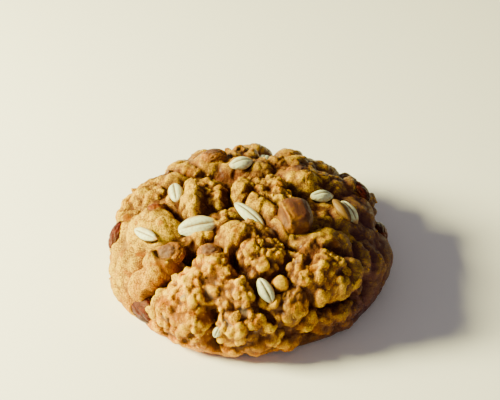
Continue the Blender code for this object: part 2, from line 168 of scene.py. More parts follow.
@dataclass(frozen=True)
class Skin:
    """The bare dome, turned round the crown: a superellipse above the waist, a quarter ellipse below it."""

    radius: float = 36.6
    waist_height: float = 5.6
    crown_rise: float = 18.6
    power: float = 2.3
    foot_radius: float = 32.5
    middle: tuple[float, float] = (-0.57, -0.58)
    rim_wander: tuple[tuple[int, float, float], ...] = (
        (2, 0.010, 20.0),
        (3, 0.014, 75.0),
        (5, 0.008, 140.0),
        (7, 0.006, 10.0),
    )

    def profile(self) -> tuple[Array, Array, Array]:
        """The curve that is turned, from the crown to the foot, with its arc summed from short chords.

        Returns:
            Arc length, radius and height in millimetres.
        """
        top = np.linspace(math.pi / 2, 0.0, 300)
        radius = self.radius * np.cos(top).clip(0.0) ** (2 / self.power)
        height = self.waist_height + self.crown_rise * np.sin(top).clip(0.0) ** (2 / self.power)
        under = np.linspace(0.0, math.pi / 2, 60)[1:]
        radius = np.append(radius, self.foot_radius + (self.radius - self.foot_radius) * np.cos(under))
        height = np.append(height, self.waist_height * (1 - np.sin(under)))
        arc = np.append(0.0, np.cumsum(np.hypot(np.diff(radius), np.diff(height))))
        return arc, radius, height

    def length(self) -> float:
        """The arc length from the crown to the foot."""
        return float(self.profile()[0][-1])

    def frame(self, u: Array, v: Array) -> tuple[Array, Array]:
        """Bare skin points: the profile turned to the azimuth of (u, v), with a wandering rim.

        Args:
            u: places to the right on the crown map.
            v: places away from the viewer.

        Returns:
            Points in millimetres and outward unit normals, one a row.
        """
        arc, radii, heights = self.profile()
        azimuth = np.arctan2(v, u)
        reach = np.hypot(u, v)
        wander = sum(share * np.cos(waves * azimuth + math.radians(at))
                     for waves, share, at in self.rim_wander)
        radius = np.interp(reach, arc, radii)
        out = np.interp(reach, arc, np.gradient(radii, arc))
        down = np.interp(reach, arc, np.gradient(heights, arc))
        spread = radius * (1 + wander * radius / self.radius)
        height = np.interp(reach, arc, heights)
        points = np.stack([spread * np.cos(azimuth), spread * np.sin(azimuth), height], -1)
        points[:, :2] += self.middle
        normals = np.stack([-down * np.cos(azimuth), -down * np.sin(azimuth), out], -1)
        return points, normals / np.linalg.norm(normals, axis=1, keepdims=True)


class Oval:
    """A turned oval on the crown map: the kinds of it hold its middle, turn in degrees and half sizes."""

    u: float
    v: float
    turn: float
    long: float
    wide: float

    def reach(self, u: Array, v: Array) -> Array:
        """How far out places are, in half sizes: the length of (along, across) in the oval's own turn.

        Args:
            u: places to the right on the crown map.
            v: places away from the viewer.

        Returns:
            0 in the middle and 1 on the outline.
        """
        turn = math.radians(self.turn)
        along = ((u - self.u) * math.cos(turn) + (v - self.v) * math.sin(turn)) / self.long
        across = ((v - self.v) * math.cos(turn) - (u - self.u) * math.sin(turn)) / self.wide
        return np.hypot(along, across)


@dataclass(frozen=True)
class Lump(Oval):
    """A lump of dough: middle, half length and width, turn in degrees, rise and roughness."""

    u: float
    v: float
    long: float
    wide: float
    turn: float
    rise: float
    rough: float


@dataclass(frozen=True)
class Crack:
    """A crack or hollow: its route on the crown map, half width and depth."""

    route: tuple[tuple[float, float], ...]
    width: float
    depth: float


@dataclass(frozen=True)
class Seat(Oval):
    """The place of a raisin or a grain: map place, turns in degrees and half sizes in millimetres."""

    name: str
    u: float
    v: float
    turn: float
    pitch: float
    roll: float
    long: float
    wide: float
    thick: float
    lift: float


@dataclass(frozen=True)
class Spot:
    """A round spot of colour: its middle on the crown map, radius and strength."""

    u: float
    v: float
    radius: float
    strength: float

    def share(self, u: Array, v: Array) -> Array:
        """The strength within a third of the radius, then a smooth fall to 0 at the radius."""
        reach = np.hypot(u - self.u, v - self.v)
        return self.strength * (1 - smooth_step(reach, 0.35 * self.radius, self.radius))


@dataclass(frozen=True)
class Relief:
    """How the dough stands over the bare skin: lumps that meet in creases, clumps on them, and cracks."""

    skin: Skin
    lumps: tuple[Lump, ...]
    cracks: tuple[Crack, ...]
    foot_fade: float = 7.0
    crease: float = 3.2
    lump_power: float = 3.2
    wander_size: float = 7.0
    wander: float = 1.3
    clump_size: float = 4.6
    clump_rise: float = 1.8
    far_rows: tuple[tuple[float, int], ...] = ((24.0, 5), (33.0, 7), (42.0, 9))
    far_span: tuple[float, float] = (28.0, 152.0)
    far_size: tuple[float, float] = (4.2, 6.2)
    far_rise: tuple[float, float] = (2.0, 3.6)

    def far_lumps(self) -> list[Lump]:
        """The lumps of the side that is out of sight: rows round the crown with a seeded scatter.

        Returns:
            The lumps, row by row.
        """
        draw = np.random.default_rng(SEED)
        made = []
        for reach, count in self.far_rows:
            for degrees in np.linspace(*self.far_span, count):
                angle = math.radians(degrees + draw.uniform(-4, 4))
                far = reach + draw.uniform(-1.5, 1.5)
                size = draw.uniform(*self.far_size)
                u, v = far * math.cos(angle), far * math.sin(angle)
                rise = draw.uniform(*self.far_rise)
                turn, rough = draw.uniform(0, 180), draw.uniform(0.1, 0.8)
                made.append(Lump(u, v, size * 1.2, size * 0.85, turn, rise, rough))
        return made

    def lump_height(self, u: Array, v: Array) -> tuple[Array, Array]:
        """Caps of rise times one less distance to a power, joined by the logarithm of summed exponentials.

        Args:
            u: places to the right on the crown map.
            v: places away from the viewer.

        Returns:
            Height in millimetres and roughness.
        """
        weights = np.ones(len(u))
        rough = np.full(len(u), 0.4)
        for lump in list(self.lumps) + self.far_lumps():
            cap = lump.rise * (1 - lump.reach(u, v) ** self.lump_power)
            weight = np.exp(self.crease * np.maximum(cap, -4.0))
            weights += weight
            rough += weight * lump.rough
        return np.log(weights) / self.crease, rough / weights

    @staticmethod
    def distance_to(route: tuple[tuple[float, float], ...], u: Array, v: Array) -> Array:
        """The distance on the map from each place to the nearest of a route's straight stretches.

        Args:
            route: the corners of the route.
            u: places to the right on the crown map.
            v: places away from the viewer.

        Returns:
            Distances in millimetres.
        """
        nearest = np.full(len(u), np.inf)
        for (u0, v0), (u1, v1) in zip(route, route[1:]):
            length = (u1 - u0) ** 2 + (v1 - v0) ** 2
            t = np.clip(((u - u0) * (u1 - u0) + (v - v0) * (v1 - v0)) / length, 0.0, 1.0)
            nearest = np.minimum(nearest, np.hypot(u - u0 - t * (u1 - u0), v - v0 - t * (v1 - v0)))
        return nearest

    def fade(self, u: Array, v: Array) -> Array:
        """1 over the top and sides and 0 at the foot, where the relief dies away."""
        return smooth_step(self.skin.length() - np.hypot(u, v), 0.0, self.foot_fade)

    def height(self, u: Array, v: Array) -> tuple[Array, Array, Array]:
        """The summed lumps, clumps and cracks.

        Args:
            u: places to the right on the crown map.
            v: places away from the viewer.

        Returns:
            Height in millimetres, roughness, and how deep in a crack a place is, from 0 to 1.
        """
        points, _ = self.skin.frame(u, v)
        points = points - np.array([*self.skin.middle, 0.0])
        stray_u = u + self.wander * lattice_noise(points, self.wander_size, SEED + 1)
        stray_v = v + self.wander * lattice_noise(points, self.wander_size, SEED + 2)
        height, rough = self.lump_height(stray_u, stray_v)
        height += self.clump_rise * (0.25 + rough) * (knobs(points, self.clump_size, SEED + 3) - 0.5)
        cracked = np.zeros(len(u))
        for crack in self.cracks:
            inside = np.exp(-((self.distance_to(crack.route, stray_u, stray_v) / crack.width) ** 2))
            height -= crack.depth * inside
            cracked = np.maximum(cracked, inside)
        return height * self.fade(u, v), rough, cracked

    def points(self, u: Array, v: Array, lift: float = 0.0) -> tuple[Array, Array]:
        """Points over the lumpy dough: the bare skin plus its normal times the height and the lift.

        Args:
            u: places to the right on the crown map.
            v: places away from the viewer.
            lift: millimetres over the dough.

        Returns:
            Points in millimetres and the bare skin's normals.
        """
        points, normals = self.skin.frame(u, v)
        points = points + normals * (self.height(u, v)[0] + lift)[:, None]
        points[:, 2] = np.maximum(points[:, 2], 0.0)
        return points, normals


# Meshes.


def square_to_disc(x: Array, y: Array) -> tuple[Array, Array]:
    """The map from the square of side 2 to the unit disc: each square ring becomes a round one.

    Args:
        x: places across the square.
        y: places up the square.

    Returns:
        The same places on the disc.
    """
    ring = np.maximum(np.abs(x), np.abs(y))
    sideways = np.abs(x) >= np.abs(y)
    with np.errstate(divide="ignore", invalid="ignore"):
        angle = np.where(sideways, math.pi / 4 * y / x, math.pi / 2 - math.pi / 4 * x / y)
    angle = np.nan_to_num(angle) + np.where(np.where(sideways, x, y) < 0, math.pi, 0.0)
    return ring * np.cos(angle), ring * np.sin(angle)


def disc_to_square(x: Array, y: Array) -> tuple[Array, Array]:
    """The way back to the square: the angle within each quarter becomes a place along its side.

    Args:
        x: places across the disc.
        y: places up the disc.

    Returns:
        The same places on the square.
    """
    ring = np.hypot(x, y)
    angle = np.arctan2(y, x)
    quarter = np.round(angle / (math.pi / 2))
    along = ring * (angle - quarter * math.pi / 2) * 4 / math.pi
    turn = quarter * math.pi / 2
    cos, sin = np.round(np.cos(turn)), np.round(np.sin(turn))
    return ring * cos - along * sin, ring * sin + along * cos


def grid_normals(points: Array) -> Array:
    """Unit normals of a grid of points: the cross product of the steps along its two directions.

    Args:
        points: a square array of points.

    Returns:
        One normal a point.
    """
    across = np.gradient(points, axis=0)
    along = np.gradient(points, axis=1)
    normals = np.cross(across, along)
    return normals / np.linalg.norm(normals, axis=2, keepdims=True).clip(1e-9)


def blurred(values: Array, cells: int) -> Array:
    """The mean over a square of cells, taken twice, which is close to a Gaussian blur.

    Args:
        values: a square array of numbers or points.
        cells: how far the mean reaches each way.

    Returns:
        The blurred array, of the same shape.
    """
    for _ in range(2):
        for axis in (0, 1):
            pad = [(0, 0)] * values.ndim
            pad[axis] = (cells + 1, cells)
            total = np.cumsum(np.pad(values, pad, mode="edge"), axis=axis)
            count = values.shape[axis]
            high = np.take(total, np.arange(2 * cells + 1, 2 * cells + 1 + count), axis=axis)
            values = (high - np.take(total, np.arange(count), axis=axis)) / (2 * cells + 1)
    return values


def ball(sides: int, rings: int) -> tuple[Array, Array]:
    """A unit sphere with its poles on the X axis: rings of latitude, each of points round it.

    Args:
        sides: points round a ring.
        rings: bands from pole to pole.

    Returns:
        Points and triangles, the poles first and last.
    """
    latitude = np.linspace(0.0, math.pi, rings + 1)[1:-1, None]
    longitude = np.linspace(0.0, 2 * math.pi, sides, endpoint=False)[None, :]
    parts = (-np.cos(latitude), np.sin(latitude) * np.cos(longitude), np.sin(latitude) * np.sin(longitude))
    body = np.stack(np.broadcast_arrays(*parts), -1)
    points = np.concatenate([[[-1.0, 0.0, 0.0]], body.reshape(-1, 3), [[1.0, 0.0, 0.0]]])
    side = np.arange(sides)
    ahead = (side + 1) % sides
    start = 1 + np.arange(rings - 2)[:, None] * sides
    a, b = start + side, start + ahead
    lower = np.stack([a, a + sides, b], -1)
    upper = np.stack([b, a + sides, b + sides], -1)
    bands = np.concatenate([lower, upper]).reshape(-1, 3)
    first = np.stack([np.zeros(sides, int), 1 + side, 1 + ahead], -1)
    end = 1 + (rings - 2) * sides
    last = np.stack([np.full(sides, len(points) - 1), end + ahead, end + side], -1)
    return points, np.concatenate([first, bands, last])


def make_piece(name: str, points: Array, faces: list[list[int]], finish: bpy.types.Material,
               marks: dict[str, Array] | None = None) -> bpy.types.Object:
    """A smooth mesh object at the origin.

    Args:
        name: the object's name.
        points: vertices in millimetres.
        faces: the vertex numbers of each triangle or quad.
        finish: its material.
        marks: named values, one a vertex, that the material reads.

    Returns:
        The new object, linked to the scene.
    """
    mesh = bpy.data.meshes.new(name)
    mesh.from_pydata(points * MM, [], faces)
    mesh.shade_smooth()
    mesh.materials.append(finish)
    for mark, values in (marks or {}).items():
        layer = mesh.attributes.new(mark, "FLOAT", "POINT")
        layer.data.foreach_set("value", values.astype(np.float32))
    piece = bpy.data.objects.new(name, mesh)
    bpy.context.scene.collection.objects.link(piece)
    return piece


def many(points: Array, faces: Array) -> tuple[Array, Array]:
    """Joins copies of one mesh into one list of points and one of faces.

    Args:
        points: an array of copies by points by 3.
        faces: the faces of one copy.

    Returns:
        All points and all faces.
    """
    copies, count = points.shape[:2]
    offset = (np.arange(copies) * count)[:, None, None]
    return points.reshape(-1, 3), (faces[None] + offset).reshape(-1, faces.shape[1])


def turned(first: Array, second: Array, degrees: float | Array) -> tuple[Array, Array]:
    """Turns two square axes: each becomes itself times the cosine plus or less the other times the sine.

    Args:
        first: the axis that turns towards the second.
        second: the axis that turns away from the first.
        degrees: the angle.

    Returns:
        The two turned axes.
    """
    angle = np.radians(degrees)
    return first * np.cos(angle) + second * np.sin(angle), second * np.cos(angle) - first * np.sin(angle)


# Materials.


class Wiring:
    """Builds the nodes of one tree with short calls. Every input may be a number, a colour or a socket."""

    def __init__(self, tree: bpy.types.NodeTree) -> None:
        """Keeps the tree."""
        self.tree = tree

    def put(self, socket: bpy.types.NodeSocket, value: object) -> None:
        """Links a socket to the input, or sets the input's own value.

        Args:
            socket: the input.
            value: a socket, a number or a colour.
        """
        if isinstance(value, bpy.types.NodeSocket):
            self.tree.links.new(value, socket)
        elif isinstance(value, tuple) and len(value) == 3 and socket.type == "RGBA":
            socket.default_value = (*value, 1.0)
        else:
            socket.default_value = value

    def node(self, kind: str, settings: dict[str, object] | None = None, **inputs: object) -> bpy.types.Node:
        """Adds a node.

        Args:
            kind: its type after ShaderNode.
            settings: properties of the node.
            inputs: values by input name, with _ for a space.

        Returns:
            The node.
        """
        made = self.tree.nodes.new("ShaderNode" + kind)
        for key, value in (settings or {}).items():
            setattr(made, key, value)
        for key, value in inputs.items():
            self.put(made.inputs[key.replace("_", " ")], value)
        return made

    def math(self, operation: str, first: object, second: object = 0.0,
             clamp: bool = False) -> bpy.types.NodeSocket:
        """Adds a Math node.

        Args:
            operation: what it does.
            first: its first input.
            second: its second input.
            clamp: whether the result is kept from 0 to 1.

        Returns:
            Its output.
        """
        made = self.node("Math", {"operation": operation, "use_clamp": clamp})
        self.put(made.inputs[0], first)
        self.put(made.inputs[1], second)
        return made.outputs[0]

    def mix(self, share: object, first: object, second: object, blend: str = "MIX") -> bpy.types.NodeSocket:
        """Adds a colour Mix node.

        Args:
            share: 0 for the first colour and 1 for the second.
            first: the first colour.
            second: the second colour.
            blend: how the second is laid over the first.

        Returns:
            Its output.
        """
        made = self.node("Mix", {"data_type": "RGBA", "blend_type": blend})
        self.put(made.inputs[0], share)
        self.put(made.inputs[6], first)
        self.put(made.inputs[7], second)
        return made.outputs[2]

    def step(self, value: object, low: float, high: float) -> bpy.types.NodeSocket:
        """Adds a smooth step.

        Args:
            value: what is read.
            low: where the rise begins.
            high: where it ends.

        Returns:
            0 below low and 1 above high, with a smooth rise between.
        """
        made = self.node("MapRange", {"interpolation_type": "SMOOTHSTEP"})
        self.put(made.inputs["Value"], value)
        made.inputs["From Min"].default_value = low
        made.inputs["From Max"].default_value = high
        return made.outputs["Result"]

    def mark(self, name: str) -> bpy.types.NodeSocket:
        """The value of a vertex attribute."""
        return self.node("Attribute", {"attribute_name": name}).outputs["Fac"]

    def noise(self, place: object, size: float, detail: float = 2.0,
              rough: float = 0.5) -> bpy.types.NodeSocket:
        """Adds a Noise Texture.

        Args:
            place: the coordinates.
            size: the size of its features in millimetres.
            detail: how many finer layers it has.
            rough: how strong each finer layer is.

        Returns:
            Its value, mostly from 0.3 to 0.7.
        """
        made = self.node("TexNoise", Vector=place, Scale=1.0 / (size * MM), Detail=detail, Roughness=rough)
        return made.outputs["Fac"]

    def ramp(self, value: object, stops: tuple[tuple[float, Colour], ...]) -> bpy.types.NodeSocket:
        """Adds a Color Ramp.

        Args:
            value: the place on the ramp.
            stops: places and their colours.

        Returns:
            The colour.
        """
        made = self.node("ValToRGB", Fac=value)
        elements = made.color_ramp.elements
        while len(elements) < len(stops):
            elements.new(0.5)
        for element, (place, colour) in zip(elements, stops):
            element.position = place
            element.color = (*colour, 1.0)
        return made.outputs["Color"]


def new_material(name: str) -> tuple[bpy.types.Material, Wiring, bpy.types.Node]:
    """Makes a material.

    Args:
        name: its name.

    Returns:
        The material, the wiring of its tree and its Principled shader.
    """
    made = bpy.data.materials.new(name)
    made.use_nodes = True
    return made, Wiring(made.node_tree), made.node_tree.nodes["Principled BSDF"]


@dataclass(frozen=True)
class CrumbGroup:
    """The group that colours and roughens baked crumb, also on flakes, crumbs and the films on raisins.

    The level picks a tone from the darkest to cream, and on the dough it holds painted shade in hollows and
    painted light on the side the light comes from. Toast multiplies the tone by the baked tone, and the
    singed tone lies in spots on the lighter part.
    """

    name: str = "Baked crumb"
    burnt_and_shaded: Colour = (0.068, 0.0170, 0.0070)
    brown: Colour = (0.128, 0.048, 0.0160)
    gold: Colour = (0.190, 0.090, 0.0240)
    straw: Colour = (0.42, 0.222, 0.0030)
    cream: Colour = (0.78, 0.480, 0.001)
    baked: Colour = (1.0, 0.60, 0.02)
    singed: Colour = (0.70, 0.46, 0.02)
    stops: tuple[float, ...] = (0.0, 0.25, 0.53, 0.78, 1.0)
    spot_size: float = 3.2
    fleck_size: float = 0.27
    blotch_size: float = 4.5
    grain_size: float = 0.30

    def build(self) -> bpy.types.NodeTree:
        """Makes the group: Level, Toast and Fuzz go in, and Color, Roughness and Height come out.

        Returns:
            The group's tree.
        """
        tree = bpy.data.node_groups.new(self.name, "ShaderNodeTree")
        face = tree.interface
        for label in ("Level", "Toast", "Fuzz"):
            face.new_socket(name=label, in_out="INPUT", socket_type="NodeSocketFloat")
        face.new_socket(name="Color", in_out="OUTPUT", socket_type="NodeSocketColor")
        face.new_socket(name="Roughness", in_out="OUTPUT", socket_type="NodeSocketFloat")
        face.new_socket(name="Height", in_out="OUTPUT", socket_type="NodeSocketFloat")
        wiring = Wiring(tree)
        taken = tree.nodes.new("NodeGroupInput").outputs
        given = tree.nodes.new("NodeGroupOutput")
        place = wiring.node("TexCoord").outputs["Object"]
        blotch = wiring.noise(place, self.blotch_size, 3.0, 0.6)
        fleck = wiring.noise(place, self.fleck_size, 2.0, 0.6)
        grain = wiring.noise(place, self.grain_size, 1.0, 0.5)
        sway = wiring.math("MULTIPLY", wiring.math("SUBTRACT", blotch, 0.5), 0.55)
        speck = wiring.math("MULTIPLY", wiring.math("SUBTRACT", fleck, 0.5), 3.0)
        speck = wiring.math("MULTIPLY", speck, wiring.math("ADD", taken["Fuzz"], 0.25))
        level = wiring.math("ADD", wiring.math("ADD", taken["Level"], sway), speck, clamp=True)
        # on the dough the level mixes painted shade and painted light into the dough's own tones
        tones = (self.burnt_and_shaded, self.brown, self.gold, self.straw, self.cream)
        colour = wiring.ramp(level, tuple(zip(self.stops, tones)))
        patch = wiring.noise(place, self.blotch_size * 0.55, 2.0, 0.5)
        patchy = wiring.math("MULTIPLY", wiring.step(patch, 0.46, 0.68), 0.3)
        warm = wiring.math("ADD", taken["Toast"], patchy)
        warm = wiring.math("MULTIPLY", wiring.step(level, 0.22, 0.62), wiring.math("MINIMUM", warm, 1.0))
        colour = wiring.mix(warm, colour, self.baked, "MULTIPLY")
        spot = wiring.step(wiring.noise(place, self.spot_size, 2.0, 0.5), 0.60, 0.67)
        spot = wiring.math("MULTIPLY", spot, wiring.step(level, 0.35, 0.60))
        colour = wiring.mix(wiring.math("MULTIPLY", spot, 0.8), colour, self.singed, "MULTIPLY")
        wiring.put(given.inputs["Color"], colour)
        shine = wiring.math("MULTIPLY", wiring.math("SUBTRACT", fleck, 0.5), 0.5)
        rough = wiring.math("ADD", wiring.math("MULTIPLY", taken["Fuzz"], 0.50), 0.17)
        wiring.put(given.inputs["Roughness"], wiring.math("ADD", rough, shine, clamp=True))
        height = wiring.math("ADD", grain, wiring.math("MULTIPLY", fleck, 0.8))
        depth = wiring.math("ADD", wiring.math("MULTIPLY", taken["Fuzz"], 1.3), 0.45)
        wiring.put(given.inputs["Height"], wiring.math("MULTIPLY", height, depth))
        return tree


@dataclass(frozen=True)
class DoughFinish:
    """Baked dough: the crumb group driven by the vertex marks, tinted where the other marks say.

    stain is the dark ring round raisins, singe the orange spots and flake the grey bits of oat. The
    side tint is painted shade, a darker and bluer brown towards the right side, away from the light.
    gloss is the coat of the smoother parts, and glow the light carried under the skin.
    """

    name: str = "Baked dough"
    glow: float = 0.05
    glow_radius: tuple[float, float, float] = (1.0, 0.45, 0.15)
    glow_scale: float = 0.0012
    stain: Colour = (0.125, 0.042, 0.014)
    singe: Colour = (0.21, 0.058, 0.002)
    flake: Colour = (0.21, 0.15, 0.10)
    umber: Colour = (0.085, 0.032, 0.050)
    gloss: float = 0.3
    bump: float = 0.8
    bump_depth: float = 0.00055

    def build(self, crumb: bpy.types.NodeTree) -> bpy.types.Material:
        """Makes the material.

        Args:
            crumb: the tree of the crumb group.

        Returns:
            The material.
        """
        made, wiring, shader = new_material(self.name)
        group = wiring.node("Group", {"node_tree": crumb})
        for label in ("Level", "Toast", "Fuzz"):
            wiring.put(group.inputs[label], wiring.mark(label.lower()))
        place = wiring.node("TexCoord").outputs["Object"]
        spread = wiring.math("SUBTRACT", wiring.noise(place, 1.6), 0.25)
        spread = wiring.math("MULTIPLY", spread, 2.4)
        stained = wiring.math("MULTIPLY", wiring.mark("stain"), spread, clamp=True)
        colour = wiring.mix(stained, group.outputs["Color"], self.stain)
        for label, tint in (("singe", self.singe), ("flake", self.flake), ("umber", self.umber)):
            colour = wiring.mix(wiring.mark(label), colour, tint)
        wiring.put(shader.inputs["Base Color"], colour)
        wiring.put(shader.inputs["Roughness"], group.outputs["Roughness"])
        height = group.outputs["Height"]
        bump = wiring.node("Bump", Strength=self.bump, Distance=self.bump_depth, Height=height)
        wiring.put(shader.inputs["Normal"], bump.outputs["Normal"])
        smooth = wiring.math("SUBTRACT", 0.40, wiring.mark("fuzz"), clamp=True)
        shine = wiring.math("MULTIPLY", smooth, self.gloss)
        wiring.put(shader.inputs["Coat Weight"], shine)
        shader.inputs["Coat Roughness"].default_value = 0.22
        shader.inputs["Subsurface Weight"].default_value = self.glow
        shader.inputs["Subsurface Radius"].default_value = self.glow_radius
        shader.inputs["Subsurface Scale"].default_value = self.glow_scale
        shader.inputs["IOR"].default_value = 1.35
        shader.inputs["Specular IOR Level"].default_value = 0.10
        shader.inputs["Specular Tint"].default_value = (1.0, 0.78, 0.12, 1.0)
        return made


@dataclass(frozen=True)
class GrainFinish:
    """Hulled oat grain: ivory with a green-grey cast, tan tips, and a brown line in the crease."""

    name: str = "Oat grain"
    ivory: Colour = (0.60, 0.67, 0.44)
    tan: Colour = (0.38, 0.19, 0.035)
    line: Colour = (0.13, 0.050, 0.014)
    roughness: float = 0.42

    def build(self) -> bpy.types.Material:
        """Makes the material, which reads the marks crease, tip and stripe.

        Returns:
            The material.
        """
        made, wiring, shader = new_material(self.name)
        place = wiring.node("TexCoord").outputs["Object"]
        mottle = wiring.noise(place, 0.7, 3.0, 0.65)
        stained = wiring.mix(0.5, self.ivory, self.tan)
        pale = wiring.mix(wiring.step(mottle, 0.33, 0.60), stained, self.ivory)
        tipped = wiring.mix(wiring.mark("tip"), pale, self.tan)
        lined = wiring.mix(wiring.mark("crease"), tipped, self.line)
        wiring.put(shader.inputs["Base Color"], lined)
        shader.inputs["Roughness"].default_value = self.roughness
        shader.inputs["Specular IOR Level"].default_value = 0.3
        shader.inputs["Subsurface Weight"].default_value = 0.15
        shader.inputs["Subsurface Radius"].default_value = (1.0, 0.8, 0.4)
        shader.inputs["Subsurface Scale"].default_value = 0.0008
        height = wiring.math("ADD", wiring.mark("stripe"), wiring.math("MULTIPLY", mottle, 0.5))
        bump = wiring.node("Bump", Strength=0.35, Distance=0.00012, Height=height)
        wiring.put(shader.inputs["Normal"], bump.outputs["Normal"])
        return made


class Skinned(Enum):
    """How a raisin's skin shows."""

    BARE = "bare"
    FILMED = "filmed"
    CARAMEL = "caramel"
    FOLDED = "folded"


@dataclass(frozen=True)
class RaisinFinish:
    """Raisin skin: two tones by a cloudy noise, a dull whitish coat on its ridges and a film of dough.

    On the folded raisin the skin is painted darker on one side as shade, and the pale coat on its seam
    and back edge is partly a painted highlight. dusting is how strong the coat is, and sheen the level
    of the shine.
    """

    kind: Skinned
    deep: Colour
    lit: Colour
    bloom_and_highlight: Colour
    dusting_and_highlight: float
    roughness: float
    sheen: float

    def build(self, crumb: bpy.types.NodeTree) -> bpy.types.Material:
        """Makes the material, which reads the marks shade, ridge and film.

        Args:
            crumb: the tree of the crumb group, which colours the film.

        Returns:
            The material.
        """
        made, wiring, shader = new_material(f"Raisin skin {self.kind.value}")
        place = wiring.node("TexCoord").outputs["Object"]
        cloud = wiring.noise(place, 2.2, 3.0, 0.6)
        # painted shade: the shade mark pulls the skin towards the deep tone
        bright = wiring.math("SUBTRACT", cloud, wiring.math("MULTIPLY", wiring.mark("shade"), 0.25))
        skin = wiring.mix(wiring.step(bright, 0.30, 0.58), self.deep, self.lit)
        powder = wiring.step(wiring.noise(place, 1.1), 0.42, 0.68)
        # pale coat on the ridges, and on the folded raisin a painted highlight on the seam and back edge
        dust_and_highlight = wiring.math("MULTIPLY", wiring.mark("ridge"), powder)
        skin = wiring.mix(wiring.math("MULTIPLY", dust_and_highlight, self.dusting_and_highlight), skin, self.bloom_and_highlight)
        group = wiring.node("Group", {"node_tree": crumb}, Level=0.50, Toast=0.6, Fuzz=0.45)
        ragged = wiring.math("SUBTRACT", wiring.noise(place, 0.8, 3.0, 0.65), 0.5)
        film = wiring.step(wiring.math("ADD", wiring.mark("film"), ragged), 0.25, 0.85)
        wiring.put(shader.inputs["Base Color"], wiring.mix(film, skin, group.outputs["Color"]))
        rough = wiring.math("ADD", wiring.math("MULTIPLY", film, 0.3), self.roughness, clamp=True)
        wiring.put(shader.inputs["Roughness"], rough)
        shader.inputs["Specular IOR Level"].default_value = self.sheen
        shader.inputs["Specular Tint"].default_value = (1.0, 0.62, 0.24, 1.0)
        shader.inputs["Subsurface Weight"].default_value = 0.2
        shader.inputs["Subsurface Radius"].default_value = (1.0, 0.25, 0.12)
        shader.inputs["Subsurface Scale"].default_value = 0.0012
        bump = wiring.node("Bump", Strength=0.5, Distance=0.00025, Height=group.outputs["Height"])
        wiring.put(shader.inputs["Normal"], bump.outputs["Normal"])
        return made


RAISIN_FINISHES = (
    RaisinFinish(
        Skinned.BARE, deep=(0.030, 0.0030, 0.003), lit=(0.078, 0.0085, 0.005), bloom_and_highlight=(0.12, 0.030, 0.018),
        dusting_and_highlight=0.3, roughness=0.28, sheen=0.16),
    RaisinFinish(
        Skinned.FILMED, deep=(0.055, 0.020, 0.013), lit=(0.112, 0.052, 0.034), bloom_and_highlight=(0.17, 0.105, 0.08),
        dusting_and_highlight=0.6, roughness=0.40, sheen=0.2),
    RaisinFinish(
        Skinned.CARAMEL, deep=(0.095, 0.017, 0.002), lit=(0.165, 0.038, 0.003), bloom_and_highlight=(0.25, 0.09, 0.005),
        dusting_and_highlight=0.2, roughness=0.4, sheen=0.2),
    RaisinFinish(
        Skinned.FOLDED, deep=(0.082, 0.028, 0.014), lit=(0.185, 0.070, 0.008), bloom_and_highlight=(0.38, 0.195, 0.010),
        dusting_and_highlight=0.9, roughness=0.34, sheen=0.25),
)

HUSK_FINISH = GrainFinish(
    "Oat husk", ivory=(0.16, 0.082, 0.010), tan=(0.12, 0.052, 0.008), line=(0.10, 0.036, 0.008),
    roughness=0.5)


# What the photo shows, place by place.


